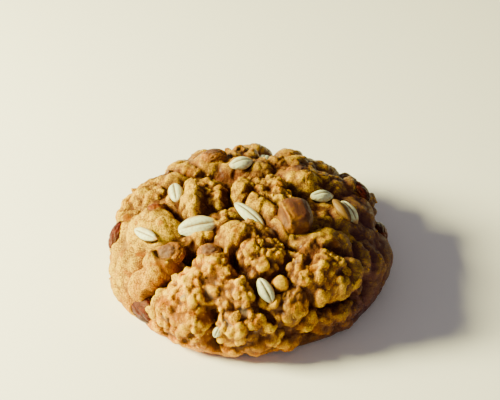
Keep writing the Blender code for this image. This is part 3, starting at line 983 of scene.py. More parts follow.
LUMPS = (
    # broad masses that the lumps stand on
    Lump(-18.0, -35.0, 13.0, 10.0, -20, 2.9, 0.7),
    Lump(-1.0, -37.0, 12.0, 11.0, 0, 2.7, 0.8),
    Lump(-9.5, -26.0, 9.0, 7.0, -30, 3.5, 0.6),
    Lump(27.0, -31.0, 10.0, 8.0, 35, 0.8, 0.5),
    Lump(4.5, 2.5, 9.5, 6.0, -15, 3.3, 0.8),
    Lump(-13.5, 2.5, 8.0, 6.5, 0, 3.2, 0.7),
    Lump(0.0, 15.0, 10.0, 5.5, 0, 2.7, 0.4),
    Lump(15.0, 11.0, 9.0, 7.0, -10, 3.0, 0.3),
    Lump(19.5, -20.0, 10.5, 8.0, 15, 3.8, 0.45),
    Lump(0.0, -15.5, 8.5, 7.0, 20, 3.4, 0.5),
    Lump(-25.0, -9.0, 10.0, 7.0, -45, 2.8, 0.15),
    # left
    Lump(-25.0, -6.6, 8.6, 5.8, -45, 4.0, 0.2),
    Lump(-22.5, -19.9, 6.0, 4.8, 0, 3.6, 0.3),
    Lump(-36.0, -16.1, 13.8, 10.3, 60, 1.0, 0.05),
    Lump(-28.0, -23.1, 7.5, 4.0, 15, 2.4, 0.15),
    Lump(-34.0, -2.7, 6.9, 5.8, 0, 1.6, 0.2),
    Lump(-27.0, 7.8, 6.3, 5.2, 20, 3.2, 0.6),
    Lump(-35.0, 5.3, 5.2, 4.6, 0, 2.0, 0.5),
    # crown, left to right
    Lump(-14.5, -1.1, 5.5, 3.7, 90, 4.6, 0.5),
    Lump(-9.0, 0.6, 4.1, 3.9, 0, 2.8, 0.8),
    Lump(-8.5, -7.7, 4.8, 3.0, 0, 1.6, 0.6),
    Lump(-13.5, -13.9, 5.2, 2.8, 10, 1.6, 0.6),
    Lump(-3.6, -16.1, 6.0, 5.1, 30, 4.8, 0.35),
    Lump(4.0, -22.0, 7.4, 6.2, -35, 4.8, 0.8),
    Lump(-9.0, -22.8, 5.3, 4.6, -20, 4.2, 0.5),
    Lump(-2.5, 2.2, 5.1, 3.4, 90, 4.2, 0.5),
    Lump(4.5, 4.3, 6.0, 3.7, -15, 3.9, 1.0),
    Lump(1.8, -3.3, 4.1, 2.5, -50, 3.4, 0.3),
    Lump(5.2, -5.6, 3.9, 2.3, -60, 3.1, 0.3),
    Lump(11.5, -11.1, 6.9, 5.3, -60, 2.4, 0.3),
    Lump(7.0, -13.4, 4.8, 2.9, -50, 3.8, 0.1),
    Lump(24.6, -3.2, 4.6, 2.4, -55, 0.9, 0.1),
    # back
    Lump(-18.5, 14.4, 6.9, 5.2, 10, 2.8, 0.6),
    Lump(-9.5, 17.4, 5.5, 4.6, 0, 4.6, 0.2),
    Lump(-1.5, 20.6, 5.8, 4.4, 0, 3.0, 0.4),
    Lump(4.2, 12.2, 3.9, 3.2, 30, 3.3, 0.2),
    Lump(10.0, 17.1, 5.3, 4.6, 0, 2.8, 0.5),
    Lump(14.0, 8.3, 6.4, 4.6, -20, 4.6, 0.3),
    Lump(23.5, 11.6, 6.2, 5.1, -30, 2.8, 0.3),
    Lump(31.5, 5.8, 5.8, 4.8, -40, 2.0, 0.2),
    # right
    Lump(19.5, -15.5, 8.6, 4.6, 20, 4.0, 0.25),
    Lump(19.0, -24.7, 9.7, 5.8, 12, 5.8, 0.9),
    Lump(26.5, -22.1, 4.4, 4.6, 0, 4.8, 0.3),
    Lump(18.3, -28.8, 3.7, 3.7, 0, 4.6, 0.5),
    Lump(32.0, -14.4, 6.9, 5.2, -20, 3.0, 0.25),
    Lump(37.0, -20.9, 3.4, 6.3, 10, 2.2, 0.15),
    Lump(41.0, -7.2, 3.7, 10.3, 5, 1.3, 0.0),
    Lump(31.5, -30.9, 8.6, 6.9, 40, 2.1, 0.5),
    Lump(24.0, -37.0, 5.8, 3.8, 10, 1.8, 0.5),
    # front
    Lump(12.0, -33.9, 6.0, 3.7, 75, 3.8, 0.5),
    Lump(8.5, -29.6, 2.4, 2.4, 0, 3.4, 0.0),
    Lump(16.6, -37.0, 4.4, 3.0, 60, 3.0, 0.4),
    Lump(14.0, -44.4, 7.1, 3.0, 22, 2.2, 0.4),
    Lump(6.0, -41.0, 5.5, 4.1, -50, 2.6, 0.6),
    Lump(-3.5, -38.0, 6.0, 5.3, 0, 3.0, 1.0),
    Lump(-1.5, -31.4, 7.1, 3.2, -45, 3.4, 0.8),
    Lump(-8.5, -29.3, 4.8, 3.7, 0, 3.0, 0.8),
    Lump(-16.5, -30.4, 6.0, 5.5, 80, 3.6, 0.7),
    Lump(-24.0, -32.0, 5.6, 4.6, -10, 3.2, 0.6),
    Lump(-16.5, -38.5, 6.0, 4.1, -20, 3.0, 0.6),
    Lump(-17.5, -44.5, 7.4, 3.9, -15, 1.2, 0.15),
    Lump(-29.0, -38.5, 9.8, 4.1, -35, 1.0, 0.1),
    Lump(-8.5, -47.4, 7.1, 2.8, -5, 1.5, 0.2),
    Lump(2.5, -45.5, 6.0, 3.7, 0, 1.7, 0.4),
)

CRACKS = (
    Crack(((-15.8, -17.4), (-14.6, -20.2)), 2.9, 6.3),
    Crack(((-16.0, -21.5), (-20.0, -24.9), (-25.0, -27.0), (-31.5, -29.0)), 1.0, 4.4),
    Crack(((-17.5, -15.9), (-10.5, -16.3), (-7.0, -18.8)), 1.2, 2.4),
    Crack(((-4.2, -20.9), (-3.2, -25.7)), 1.0, 2.6),
    Crack(((3.5, -9.4), (8.0, -16.1), (12.0, -19.3)), 1.2, 2.8),
    Crack(((11.0, 3.2), (13.2, 1.1)), 1.8, 2.8),
    Crack(((-10.6, -35.4), (-10.2, -41.0), (-10.6, -46.0)), 1.5, 4.2),
    Crack(((1.6, -29.8), (1.8, -35.4), (6.5, -37.6)), 1.0, 2.2),
    Crack(((20.5, -31.7), (25.0, -29.6), (29.5, -26.2)), 1.1, 3.2),
    Crack(((17.5, -41.5), (23.5, -42.6)), 1.4, 2.6),
    Crack(((39.0, -24.0), (31.0, -36.0), (20.0, -45.0)), 6.0, 2.2),
    Crack(((20.0, -18.9), (26.0, -17.4), (31.0, -19.9)), 0.9, 2.6),
    Crack(((27.5, -6.5), (31.6, -12.5), (33.0, -18.0), (33.4, -23.5), (30.0, -29.0)), 1.0, 1.7),
    Crack(((25.8, -8.5), (27.6, -14.5), (29.3, -18.8)), 0.7, 1.1),
    Crack(((-20.5, -1.6), (-16.5, -7.2)), 1.2, 2.2),
    Crack(((-5.8, 5.3), (-6.2, -2.7)), 1.0, 2.4),
    Crack(((-12.0, 11.6), (-4.5, 10.7)), 1.2, 1.6),
)

GRAINS = (
    Seat("large", -13.0, -10.2, 6, 0, 22, 5.2, 3.0, 1.5, 1.1),
    Seat("left", -25.1, -11.8, -44, 0, 20, 4.4, 1.6, 1.2, 0.7),
    Seat("back_left", -18.6, 1.9, 99, 8, 0, 3.7, 2, 1.3, 0.9),
    Seat("back", -1.8, 12.5, 26, 0, 14, 3.5, 2.1, 1.4, 0.6),
    Seat("middle", 0.4, -6.6, -44, -10, 8, 5.5, 1.9, 1.3, 0.8),
    Seat("right", 19.5, 3.5, 27, 0, 0, 3.6, 2.0, 1.4, 0.7),
    Seat("far_right", 26.5, -0.6, -58, -4, 12, 4.0, 1.9, 1.5, 1.1),
    Seat("front", 4.5, -31.4, -60, 0, 0, 3.7, 1.95, 1.4, 0.8),
    Seat("crevice", -8.6, -40.2, 54, 0, 0, 1.7, 1.1, 0.9, 0.4),
    Seat("far_back", 4.4, 22, 80, 0, 0, 3.3, 1.7, 1.1, 0.3),
)

HUSKS = (
    Seat("far_right_half", 24.0, -1.7, -58, 0, -10, 4.2, 1.7, 1.3, 0.7),
)

# seat, skin, and how much dough film lies over the whole raisin
RAISINS = (
    (Seat("left_rim", -36.5, -2.5, 66, 0, 0, 4.6, 3, 2.2, -1.3), Skinned.BARE, 0),
    (Seat("left_foot", -34.2, -29.1, -39, 0, 0, 6.6, 3.9, 2.4, -1.8), Skinned.BARE, 0.22),
    (Seat("left_knob", -20.4, -18.0, 5, 0, 0, 4.4, 3.6, 2.4, -1.5), Skinned.FILMED, 0.2),
    (Seat("middle_knob", -9.7, -20.4, -18, 0, 0, 3.4, 2.8, 2, -1.3), Skinned.FILMED, 0.2),
    (Seat("back_left", -9.2, 17.6, 15, 0, 0, 3.8, 3.0, 2.3, -1.4), Skinned.FILMED, 0.15),
    (Seat("chunk", 11.6, -9.6, -78, 0, 0, 5.3, 4.3, 3.9, 0.4), Skinned.FOLDED, 0.0),
    (Seat("back_right", 13.1, 10.4, 5, 0, 0, 3.6, 2.6, 2.2, -1.3), Skinned.FILMED, 0.2),
    (Seat("right_rim", 40.6, 4.6, 72, 0, 0, 4.4, 3.2, 2.2, -0.6), Skinned.BARE, 0.05),
    (Seat("right_back", 30.6, 13.0, -55, 0, 0, 4.2, 2.8, 2, -1), Skinned.BARE, 0.1),
    (Seat("left_crown", -23.8, -2.8, -60, 0, 0, 3.2, 2.5, 2, -1.5), Skinned.CARAMEL, 0.2),
    (Seat("far_side", 4, 41.5, 15, 0, 0, 4.8, 3.4, 2.4, -0.9), Skinned.BARE, 0.1),
)


# orange where the oven caught the dough, as u, v, radius and strength
SINGES = tuple(Spot(*row) for row in (
    (-21.5, -22.5, 1.9, 0.9), (-19.5, -21.0, 1.7, 0.8), (-18.6, -18.6, 1.3, 0.7), (-8.0, -18.2, 1.3, 0.9),
    (-33.2, 1.0, 2.4, 0.9), (-11.2, -36.4, 2.6, 0.8), (-20.2, -36.5, 3.4, 0.6), (-11.5, -42.0, 3.4, 0.8),
    (13.0, -26.0, 1.3, 0.9), (21.0, -16.0, 1.4, 0.9), (0.8, -22.5, 1.2, 0.8), (-2.8, -17.0, 1.0, 0.9),
    (-28.8, -14.8, 0.9, 0.9), (20.8, -38.5, 2.2, 0.7), (-24.2, -20.8, 1.0, 0.8), (8.6, -13.4, 1.3, 0.7),
    (-27.5, -30.5, 2.2, 0.5), (4.0, -44.5, 2.8, 0.6), (33.0, -10.0, 1.6, 0.6), (-16.0, 13.0, 2.2, 0.5),
    (8.0, 18.0, 2.2, 0.5), (26.0, 11.0, 2.4, 0.6), (-3.6, 3.6, 1.5, 0.5), (15.0, -38.5, 1.6, 0.6),
))

# grey bits of rolled oat that show through
FLAKES = tuple(Spot(*row) for row in (
    (-16.0, -31.2, 1.1, 0.9), (-1.2, -36.0, 1.2, 0.8), (-5.5, -38.5, 1.0, 0.8), (6.0, -13.6, 1.2, 0.6),
    (2.4, -40.8, 1.0, 0.7), (-22.5, -34.5, 0.9, 0.6), (-27.0, -0.5, 1.2, 0.5), (-10.0, -31.0, 0.8, 0.6),
))


@dataclass
class Dough:
    """The dough: a net over the dome, lifted into lumps, with nodules on the lumps and crumb on the nodules.

    Sizes and rises are in millimetres. hollow_shares holds how far each blur reaches, in cells, and its
    share. under_rings are shares of the foot's outline, and under_marks the finish of the underside.
    """

    relief: Relief
    seats: tuple[Seat, ...]
    stained: tuple[Seat, ...]
    cells: int = 296
    warp_size: float = 2.9
    knob_size: float = 2.1
    knob_rise: float = 1.5
    crumb_size: float = 0.95
    crumb_rise: float = 0.17
    pit_size: float = 4.4
    pit_depth: float = 0.35
    swell: float = 0.22
    hollow_shares: tuple[tuple[int, float], ...] = ((2, 2.2), (6, 0.55), (14, 0.35))
    under_rings: tuple[float, ...] = (0.985, 0.94, 0.8, 0.5, 0.2)
    under_marks: tuple[tuple[str, float], ...] = (("level", 0.42), ("toast", 0.8), ("fuzz", 0.2))
    points: Array = field(init=False)
    normals: Array = field(init=False)
    marks: dict[str, Array] = field(init=False)

    def seat_sink(self, u: Array, v: Array) -> tuple[Array, Array]:
        """How far the dough sinks under raisins and grains: a smooth step of how far out a place is.

        Args:
            u: places to the right on the crown map.
            v: places away from the viewer.

        Returns:
            The depth in millimetres, and 1 where the dough's own detail is calmed.
        """
        sink = np.zeros(len(u))
        calm = np.zeros(len(u))
        for seat in self.seats:
            reach = seat.reach(u, v)
            edge = math.sqrt(1 - (min(seat.lift, 0.0) / seat.thick) ** 2)
            inside = 1 - smooth_step(reach, 0.6 * edge, 0.92 * edge)
            sink = np.maximum(sink, inside * (seat.thick * 0.9 - min(seat.lift, 0.0) * 0.6))
            calm = np.maximum(calm, 1 - smooth_step(reach, 0.75 * edge, 1.15 * edge))
        return sink, calm

    @staticmethod
    def raise_by(points: Array, height: Array) -> Array:
        """Moves a grid of points along its own smoothed normals.

        Args:
            points: the grid.
            height: how far each point moves.

        Returns:
            The moved grid.
        """
        return points + grid_normals(blurred(points, 1)) * height[..., None]

    def build(self) -> None:
        """Works out the points, normals and marks of the top net, each as a square array.

        The bare skin is lifted by the relief and lowered under the seats. The swell then moves points by the
        part of their smoothed normal that lies along the skin, which rounds the lumps over their creases.
        Last come nodules, pits and crumb, each along the normals of what is there by then.
        """
        side = self.cells + 1
        line = np.linspace(-1.0, 1.0, side)
        x, y = np.meshgrid(line, line, indexing="ij")
        disc_u, disc_v = square_to_disc(x.ravel(), y.ravel())
        length = self.relief.skin.length()
        u, v = disc_u * length, disc_v * length
        bare, out = self.relief.skin.frame(u, v)
        height, rough, cracked = self.relief.height(u, v)
        sink, calm = self.seat_sink(u, v)
        fade = self.relief.fade(u, v)
        grid = (bare + out * (height - sink * fade)[:, None]).reshape(side, side, 3)
        detail = (fade * (1 - calm)).reshape(side, side)
        rough = rough.reshape(side, side)

        normals = grid_normals(blurred(grid, 1))
        out = out.reshape(side, side, 3)
        slope = normals - out * np.sum(normals * out, axis=2, keepdims=True)
        grid = grid + slope * (self.swell * detail)[..., None]

        flat = grid.reshape(-1, 3)
        warp = np.stack([layered_noise(flat, self.warp_size, SEED + 20 + k, 2) for k in range(3)], -1)
        knob = nodules(flat + warp, self.knob_size, SEED + 31).reshape(side, side)
        rise = self.knob_rise * (0.18 + rough) * detail
        grid = self.raise_by(grid, rise * (knob - 0.5))

        flat = grid.reshape(-1, 3)
        from_pit = cell_noise(flat + warp, self.pit_size, SEED + 41)[0].reshape(side, side)
        pit = 1 - smooth_step(from_pit, 0.02, 0.10)
        grid = self.raise_by(grid, -self.pit_depth * pit * rough * detail)

        flat = grid.reshape(-1, 3)
        crumb = nodules(flat + 0.3 * warp, self.crumb_size, SEED + 37).reshape(side, side)
        soft = np.maximum(smooth_step(-v, 18.0, 28.0), smooth_step(v, 6.0, 16.0)).reshape(side, side)
        rise = self.crumb_rise * (0.3 + 0.7 * rough) * (1 - 0.7 * soft) * detail
        grid = self.raise_by(grid, rise * (crumb - 0.45))

        edge = np.maximum(np.abs(x), np.abs(y)) > 1 - 1e-9
        grid[..., 2] = np.where(edge, 0.0, np.maximum(grid[..., 2], 0.02))
        self.points = grid
        self.normals = grid_normals(grid)
        stain = np.max([1 - smooth_step(seat.reach(u, v), 0.6, 1.45) for seat in self.stained], axis=0)
        cracked, sink = cracked.reshape(side, side), sink.reshape(side, side)
        self.marks = self.make_marks(grid, knob, crumb, rough, cracked, sink)
        stray = 1.1 * lattice_noise(bare, 1.6, SEED + 55)
        self.marks["stain"] = stain.reshape(side, side)
        singed = np.max([spot.share(u + stray, v - stray) for spot in SINGES], axis=0)
        flaked = np.max([spot.share(u - stray, v + stray) for spot in FLAKES], axis=0)
        self.marks["singe"] = singed.reshape(side, side)
        self.marks["flake"] = flaked.reshape(side, side)
        # painted shade: a darker, bluer brown towards the right side, away from the light
        self.marks["umber"] = 0.6 * smooth_step(grid[..., 0], 15.0, 33.0)

    def make_marks(self, grid: Array, knob: Array, crumb: Array, rough: Array, cracked: Array,
                   sink: Array) -> dict[str, Array]:
        """The values that the finish reads: sums of how hollow, rough, cracked, low and lit a place is.

        A place is hollow where the blurred grid lies over it.

        Args:
            grid: the points as a square array.
            knob: 1 on the tops of knobs and 0 between them.
            crumb: the same for the finer crumb.
            rough: the lumps' roughness.
            cracked: 1 in the middle of cracks.
            sink: how deep a place lies under a raisin or grain.

        Returns:
            level, from 0 in deep hollows to 1 on crests, toast and fuzz.
        """
        normals = grid_normals(blurred(grid, 2))
        hollow = np.zeros(grid.shape[:2])
        for cells, share in self.hollow_shares:
            hollow += share * np.sum((blurred(grid, cells) - grid) * normals, axis=2)
        drift = layered_noise(grid.reshape(-1, 3), 9.0, SEED + 50).reshape(rough.shape)
        x, y, z = np.moveaxis(grid, 2, 0)
        low = 1 - smooth_step(z, 2.0, 11.0)
        front = smooth_step(-y, 10.0, 26.0)
        back = smooth_step(y, -2.0, 14.0)
        right = smooth_step(x, 19.0, 34.0)
        flank = smooth_step(-x, 18.0, 30.0)
        lit = smooth_step(-x - 0.6 * y, 10.0, 36.0)

        # painted light and shade, partly the dough's own tone: pale crests, dark hollows, cracks and pockets
        level = 0.50 * np.tanh(-0.9 * hollow) + 0.16 * (knob - 0.5) * np.clip(rough + 0.2, 0, 1)
        level += 0.37 + 0.14 * (crumb - 0.5) - 0.25 * cracked - 0.12 * smooth_step(sink, 0.2, 1.0)
        # paler where the light comes from, darker on the other sides
        level += lit * (0.32 - 0.20 * level) - 0.03 * front - 0.02 * low - 0.12 * right - 0.06 * back
        # browner in front and low down, less so on the flanks
        toast = 0.18 + low * (0.2 + 0.3 * front) + 0.3 * hollow + 0.25 * drift + 0.5 * front
        toast -= 0.35 * right + 0.45 * flank * (1 - front)
        # dull on the left flank, smoother in front and at the back
        calm = np.maximum(front * (1 - flank), smooth_step(y, 8.0, 24.0))
        fuzz = np.clip(0.45 + 0.3 * drift + 0.35 * flank - 0.35 * calm, 0.05, 1.0)
        return {"level": np.clip(level, 0.0, 1.0), "toast": np.clip(toast, 0.0, 1.0), "fuzz": fuzz}

    def sample(self, values: Array, u: Array, v: Array) -> Array:
        """Reads a grid of values at map places: the four corners of each place's cell, blended by nearness.

        Args:
            values: a square array of numbers or points.
            u: places to the right on the crown map.
            v: places away from the viewer.

        Returns:
            One value or point for each place.
        """
        length = self.relief.skin.length()
        x, y = disc_to_square(u / length, v / length)
        i = np.clip((x + 1) / 2 * self.cells, 0, self.cells - 1e-6)
        j = np.clip((y + 1) / 2 * self.cells, 0, self.cells - 1e-6)
        i0, j0 = i.astype(int), j.astype(int)
        shape = (-1,) + (1,) * (values.ndim - 2)
        a, b = (i - i0).reshape(shape), (j - j0).reshape(shape)
        near = values[i0, j0] * (1 - b) + values[i0, j0 + 1] * b
        far = values[i0 + 1, j0] * (1 - b) + values[i0 + 1, j0 + 1] * b
        return near * (1 - a) + far * a

    def scatter(self, draw: np.random.Generator, tries: int,
                reach: float) -> tuple[Array, Array, Array, Array]:
        """Places spread evenly over a disc of the crown map: the reach times the root of a uniform draw.

        Args:
            draw: the seeded source of the draws.
            tries: how many places there are.
            reach: the disc's radius in millimetres.

        Returns:
            u, v, the lumps' roughness, and 1 where a seat is near.
        """
        far = reach * np.sqrt(draw.uniform(0, 1, tries))
        angle = draw.uniform(0, 2 * math.pi, tries)
        u, v = far * np.cos(angle), far * np.sin(angle)
        return u, v, self.relief.height(u, v)[1], self.seat_sink(u, v)[1]

    def piece(self, finish: bpy.types.Material) -> bpy.types.Object:
        """The closed mesh: the top net, then rings that shrink towards the middle of the flat underside.

        Args:
            finish: its material.

        Returns:
            The new piece.
        """
        side = self.cells + 1
        number = np.arange(side * side).reshape(side, side)
        corners = (number[:-1, :-1], number[1:, :-1], number[1:, 1:], number[:-1, 1:])
        quads = np.stack(corners, -1).reshape(-1, 4)
        rim = np.concatenate([number[:-1, 0], number[-1, :-1], number[:0:-1, -1], number[0, :0:-1]])
        points = [self.points.reshape(-1, 3)]
        middle = points[0][rim].mean(axis=0)
        outer, total = rim, side * side
        faces = [quads]
        for share in self.under_rings:
            ring = middle + (points[0][rim] - middle) * share
            ring[:, 2] = 0.12 * (1 + lattice_noise(ring, 2.5, SEED + 60)) * (share < 0.95)
            inner = total + np.arange(len(rim))
            faces.append(np.stack([outer, inner, np.roll(inner, -1), np.roll(outer, -1)], -1))
            points.append(ring)
            outer, total = inner, total + len(rim)
        points.append(middle[None])
        under = len(self.under_rings) * len(rim) + 1
        marks = {name: np.append(values, np.full(under, dict(self.under_marks).get(name, 0.0)))
                 for name, values in self.marks.items()}
        last = np.stack([outer, np.full(len(rim), total), np.roll(outer, -1)], -1)
        joined = np.concatenate(faces).tolist() + last.tolist()
        return make_piece("baked_dough", np.concatenate(points), joined, finish, marks)


def seat_axes(relief: Relief, seat: Seat) -> tuple[Array, Array]:
    """Where a raisin or grain lies on the lumpy dough: the bare skin's axes, turned, pitched and rolled.

    Args:
        relief: the lumpy dough.
        seat: the raisin's or grain's place.

    Returns:
        Its middle in millimetres, and its long, wide and thick axes as rows.
    """
    (middle,), (normal,) = relief.points(np.array([seat.u]), np.array([seat.v]), seat.lift)
    turn = math.radians(seat.turn)
    steps = np.array([0.0, 0.2])
    (here, ahead), _ = relief.skin.frame(seat.u + steps * math.cos(turn), seat.v + steps * math.sin(turn))
    along = ahead - here
    along -= normal * (along @ normal)
    along /= np.linalg.norm(along)
    across = np.cross(normal, along)
    along, normal = turned(along, normal, seat.pitch)
    across, normal = turned(across, normal, seat.roll)
    return middle, np.stack([along, across, normal])


@dataclass
class OatGrains:
    """The hulled oat grains on the dough, joined in one piece. Lengths are shares of the half sizes."""

    relief: Relief
    seats: tuple[Seat, ...]
    sides: int = 48
    rings: int = 60
    crease_depth: float = 0.24
    crease_width: float = 0.17
    taper: float = 0.34
    lopsided: float = 0.16
    taper_power: float = 1.9
    bend: float = 0.06
    wobble: float = 0.035

    def piece(self, name: str, finish: bpy.types.Material) -> bpy.types.Object:
        """Lenses that taper to both tips: a sphere with its width times one less a power of the length.

        The crease is a Gaussian groove along the top, and the stripes beside it a sine of the width.

        Args:
            name: the piece's name.
            finish: its material.

        Returns:
            The new piece.
        """
        unit, faces = ball(self.sides, self.rings)
        along, across, up = unit.T
        taper = 1 - (self.taper + self.lopsided * along) * np.abs(along) ** self.taper_power
        bend = self.bend * along**2
        groove = np.exp(-((across / self.crease_width) ** 2)) * (up > 0) * (1 - along**4)
        stripe = 0.5 + 0.5 * np.sin(across * 26)
        body = np.stack([along, across * taper, up * taper - self.crease_depth * groove - bend], -1)
        rim = smooth_step(np.abs(across), 0.62, 0.92) * smooth_step(across, -0.6, 0.2)
        tip = np.maximum(smooth_step(np.abs(along + 0.08), 0.74, 0.98) * 0.9, rim * 0.9)
        points = []
        for seat in self.seats:
            middle, axes = seat_axes(self.relief, seat)
            sizes = np.array([seat.long, seat.wide, seat.thick])
            wobble = 1 + self.wobble * lattice_noise(unit * 2 + seat.u, 1.0, SEED + 70)
            points.append(middle + (body * wobble[:, None] * sizes) @ axes)
        every, all_faces = many(np.array(points), faces)
        count = len(self.seats)
        marks = {
            "crease": np.tile(smooth_step(groove, 0.40, 0.90), count),
            "tip": np.tile(tip, count),
            "stripe": np.tile(stripe, count),
        }
        return make_piece(name, every, all_faces.tolist(), finish, marks)


@dataclass
class Raisins:
    """The raisins, each a wrinkled flattened ball in place of its solid.

    bare_span holds, for each skin, the heights on the unit sphere between which the dough film ends.
    """

    relief: Relief
    seats: tuple[tuple[Seat, Skinned, float], ...]
    sides: int = 96
    rings: int = 72
    wrinkle: float = 0.085
    folded_wrinkle: float = 0.02975
    stretch: tuple[float, float, float] = (1.1, 2.4, 2.4)
    bare_span: dict[Skinned, tuple[float, float]] = field(default_factory=lambda: {
        Skinned.BARE: (-0.45, 0.15),
        Skinned.FILMED: (0.35, 1.12),
        Skinned.CARAMEL: (0.1, 0.8),
        Skinned.FOLDED: (-0.9, -0.2),
    })

    @staticmethod
    def folded(unit: Array) -> tuple[Array, Array, Array]:
        """The large raisin's boxy shape: each coordinate to a power, with a Gaussian ridge at a slant.

        The flap on the left of the ridge lies lower, and the skin on its right has faint ripples.

        Args:
            unit: points of a unit sphere.

        Returns:
            The shaped points, how near each is to the ridge and to the back edge, which take a pale tone
            that is partly a painted highlight, and how dark the skin is painted there: painted shade on the
            right of the ridge, away from the light, and darker on the flap.
        """
        shape = np.sign(unit) * np.abs(unit) ** 0.72
        along, across, up = unit.T
        past = across + 0.66 - 0.25 * along
        top = smooth_step(up, 0.0, 0.4)
        seam = np.exp(-((past / 0.13) ** 2)) * top
        flap = (1 - smooth_step(past, -0.25, 0.0)) * top
        ripple = 0.5 + 0.5 * np.sin(along * 9 + across * 4)
        rippled = 0.02 * ripple * smooth_step(past, 0.1, 0.3) * top
        shape = shape * (1 + 0.09 * seam - 0.16 * flap - rippled)[:, None]
        # painted highlight along the back edge, which takes the pale coat tone with the seam
        back = np.exp(-(((along + 0.8) / 0.18) ** 2)) * top
        return shape, np.maximum(seam, 0.8 * back), np.maximum(smooth_step(past, -0.1, 1.0), 0.8 * flap)

    def pieces(self, finishes: dict[Skinned, bpy.types.Material]) -> list[bpy.types.Object]:
        """Balls whose radius sinks along the zero lines of a stretched noise, which makes long folds.

        Args:
            finishes: the material of each kind of skin.

        Returns:
            One piece for each raisin, named after its node.
        """
        unit, faces = ball(self.sides, self.rings)
        made = []
        for index, (seat, kind, film) in enumerate(self.seats):
            middle, axes = seat_axes(self.relief, seat)
            stretched = unit * np.array(self.stretch) + seat.u
            fold = 1 - np.abs(layered_noise(stretched, 1.0, SEED + 80 + index, 2)) * 2.4
            fine = 1 - np.abs(layered_noise(stretched * 2.3, 1.0, SEED + 95 + index, 2)) * 2.4
            groove = smooth_step(fold, 0.35, 1.0)
            wrinkle = self.folded_wrinkle if kind is Skinned.FOLDED else self.wrinkle
            radius = 1 - wrinkle * groove - 0.35 * wrinkle * smooth_step(fine, 0.4, 1.0)
            shape, ridge, shade = unit, 1 - groove, np.full(len(unit), 0.4)
            if kind is Skinned.FOLDED:
                shape, ridge, shade = self.folded(unit)
            sizes = np.array([seat.long, seat.wide, seat.thick])
            points = middle + (shape * radius[:, None] * sizes) @ axes
            cover = film + 1 - smooth_step(unit[:, 2], *self.bare_span[kind])
            marks = {"ridge": ridge, "film": np.clip(cover, 0.0, 1.0), "shade": shade}
            piece = make_piece(f"wrinkled_{seat.name}", points, faces.tolist(), finishes[kind], marks)
            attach(piece, "root")
            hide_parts(f"raisin_{seat.name}")
            made.append(piece)
        return made


@dataclass
class OatFlakes:
    """Rolled oat flakes in the dough: thin cupped discs that stand out of it at a slant."""

    dough: Dough
    count: int = 44
    half_size: tuple[float, float] = (1.1, 2.0)
    width_share: tuple[float, float] = (0.6, 0.85)
    thickness: float = 0.38
    tilt: tuple[float, float] = (8.0, 36.0)
    waviness: float = 0.16
    cup: float = 0.12
    sunk: float = 0.25
    reach: float = 38.0
    sides: int = 14
    rings: int = 8

    def piece(self, finish: bpy.types.Material) -> bpy.types.Object:
        """Flattened balls with a wavy edge, cupped by the squared distance from their middle.

        Seeded draws scatter them over the rougher dough, clear of the seats.

        Args:
            finish: the material.

        Returns:
            The new piece.
        """
        draw = np.random.default_rng(SEED + 5)
        u, v, rough, calm = self.dough.scatter(draw, self.count * 3, self.reach)
        keep = np.flatnonzero((calm < 0.05) & (rough > 0.3))[: self.count]
        u, v = u[keep], v[keep]
        place = self.dough.sample(self.dough.points, u, v)
        normal = self.dough.sample(self.dough.normals, u, v)
        normal /= np.linalg.norm(normal, axis=1, keepdims=True)
        side = np.cross(normal, draw.normal(size=normal.shape))
        side /= np.linalg.norm(side, axis=1, keepdims=True)
        other = np.cross(normal, side)
        side, normal = turned(side, normal, draw.uniform(*self.tilt, len(u))[:, None])
        unit, faces = ball(self.sides, self.rings)
        long = draw.uniform(*self.half_size, len(u))
        wide = long * draw.uniform(*self.width_share, len(u))
        sizes = np.stack([long, wide, np.full(len(u), self.thickness)], -1)
        wave = 1 + self.waviness * lattice_noise(unit * 3, 1.0, SEED + 6)
        body = unit * wave[:, None] * sizes[:, None, :]
        body[..., 2] += self.cup * (body[..., 0] ** 2 + body[..., 1] ** 2) / long[:, None]
        axes = np.stack([side, other, normal], 1)
        points = place[:, None, :] - self.sunk * normal[:, None, :] + body @ axes
        points[..., 2] = np.maximum(points[..., 2], CLEAR_OF_FLOOR)
        every, all_faces = many(points, faces)
        # their tone is the dough's level there, with its painted light and shade
        tone = self.dough.sample(self.dough.marks["level"], u, v) + draw.uniform(-0.05, 0.1, len(u))
        marks = {
            "level": np.repeat(tone, len(unit)),
            "toast": np.full(len(every), 0.15),
            "fuzz": np.full(len(every), 0.35),
        }
        return make_piece("oat_flakes", every, all_faces.tolist(), finish, marks)


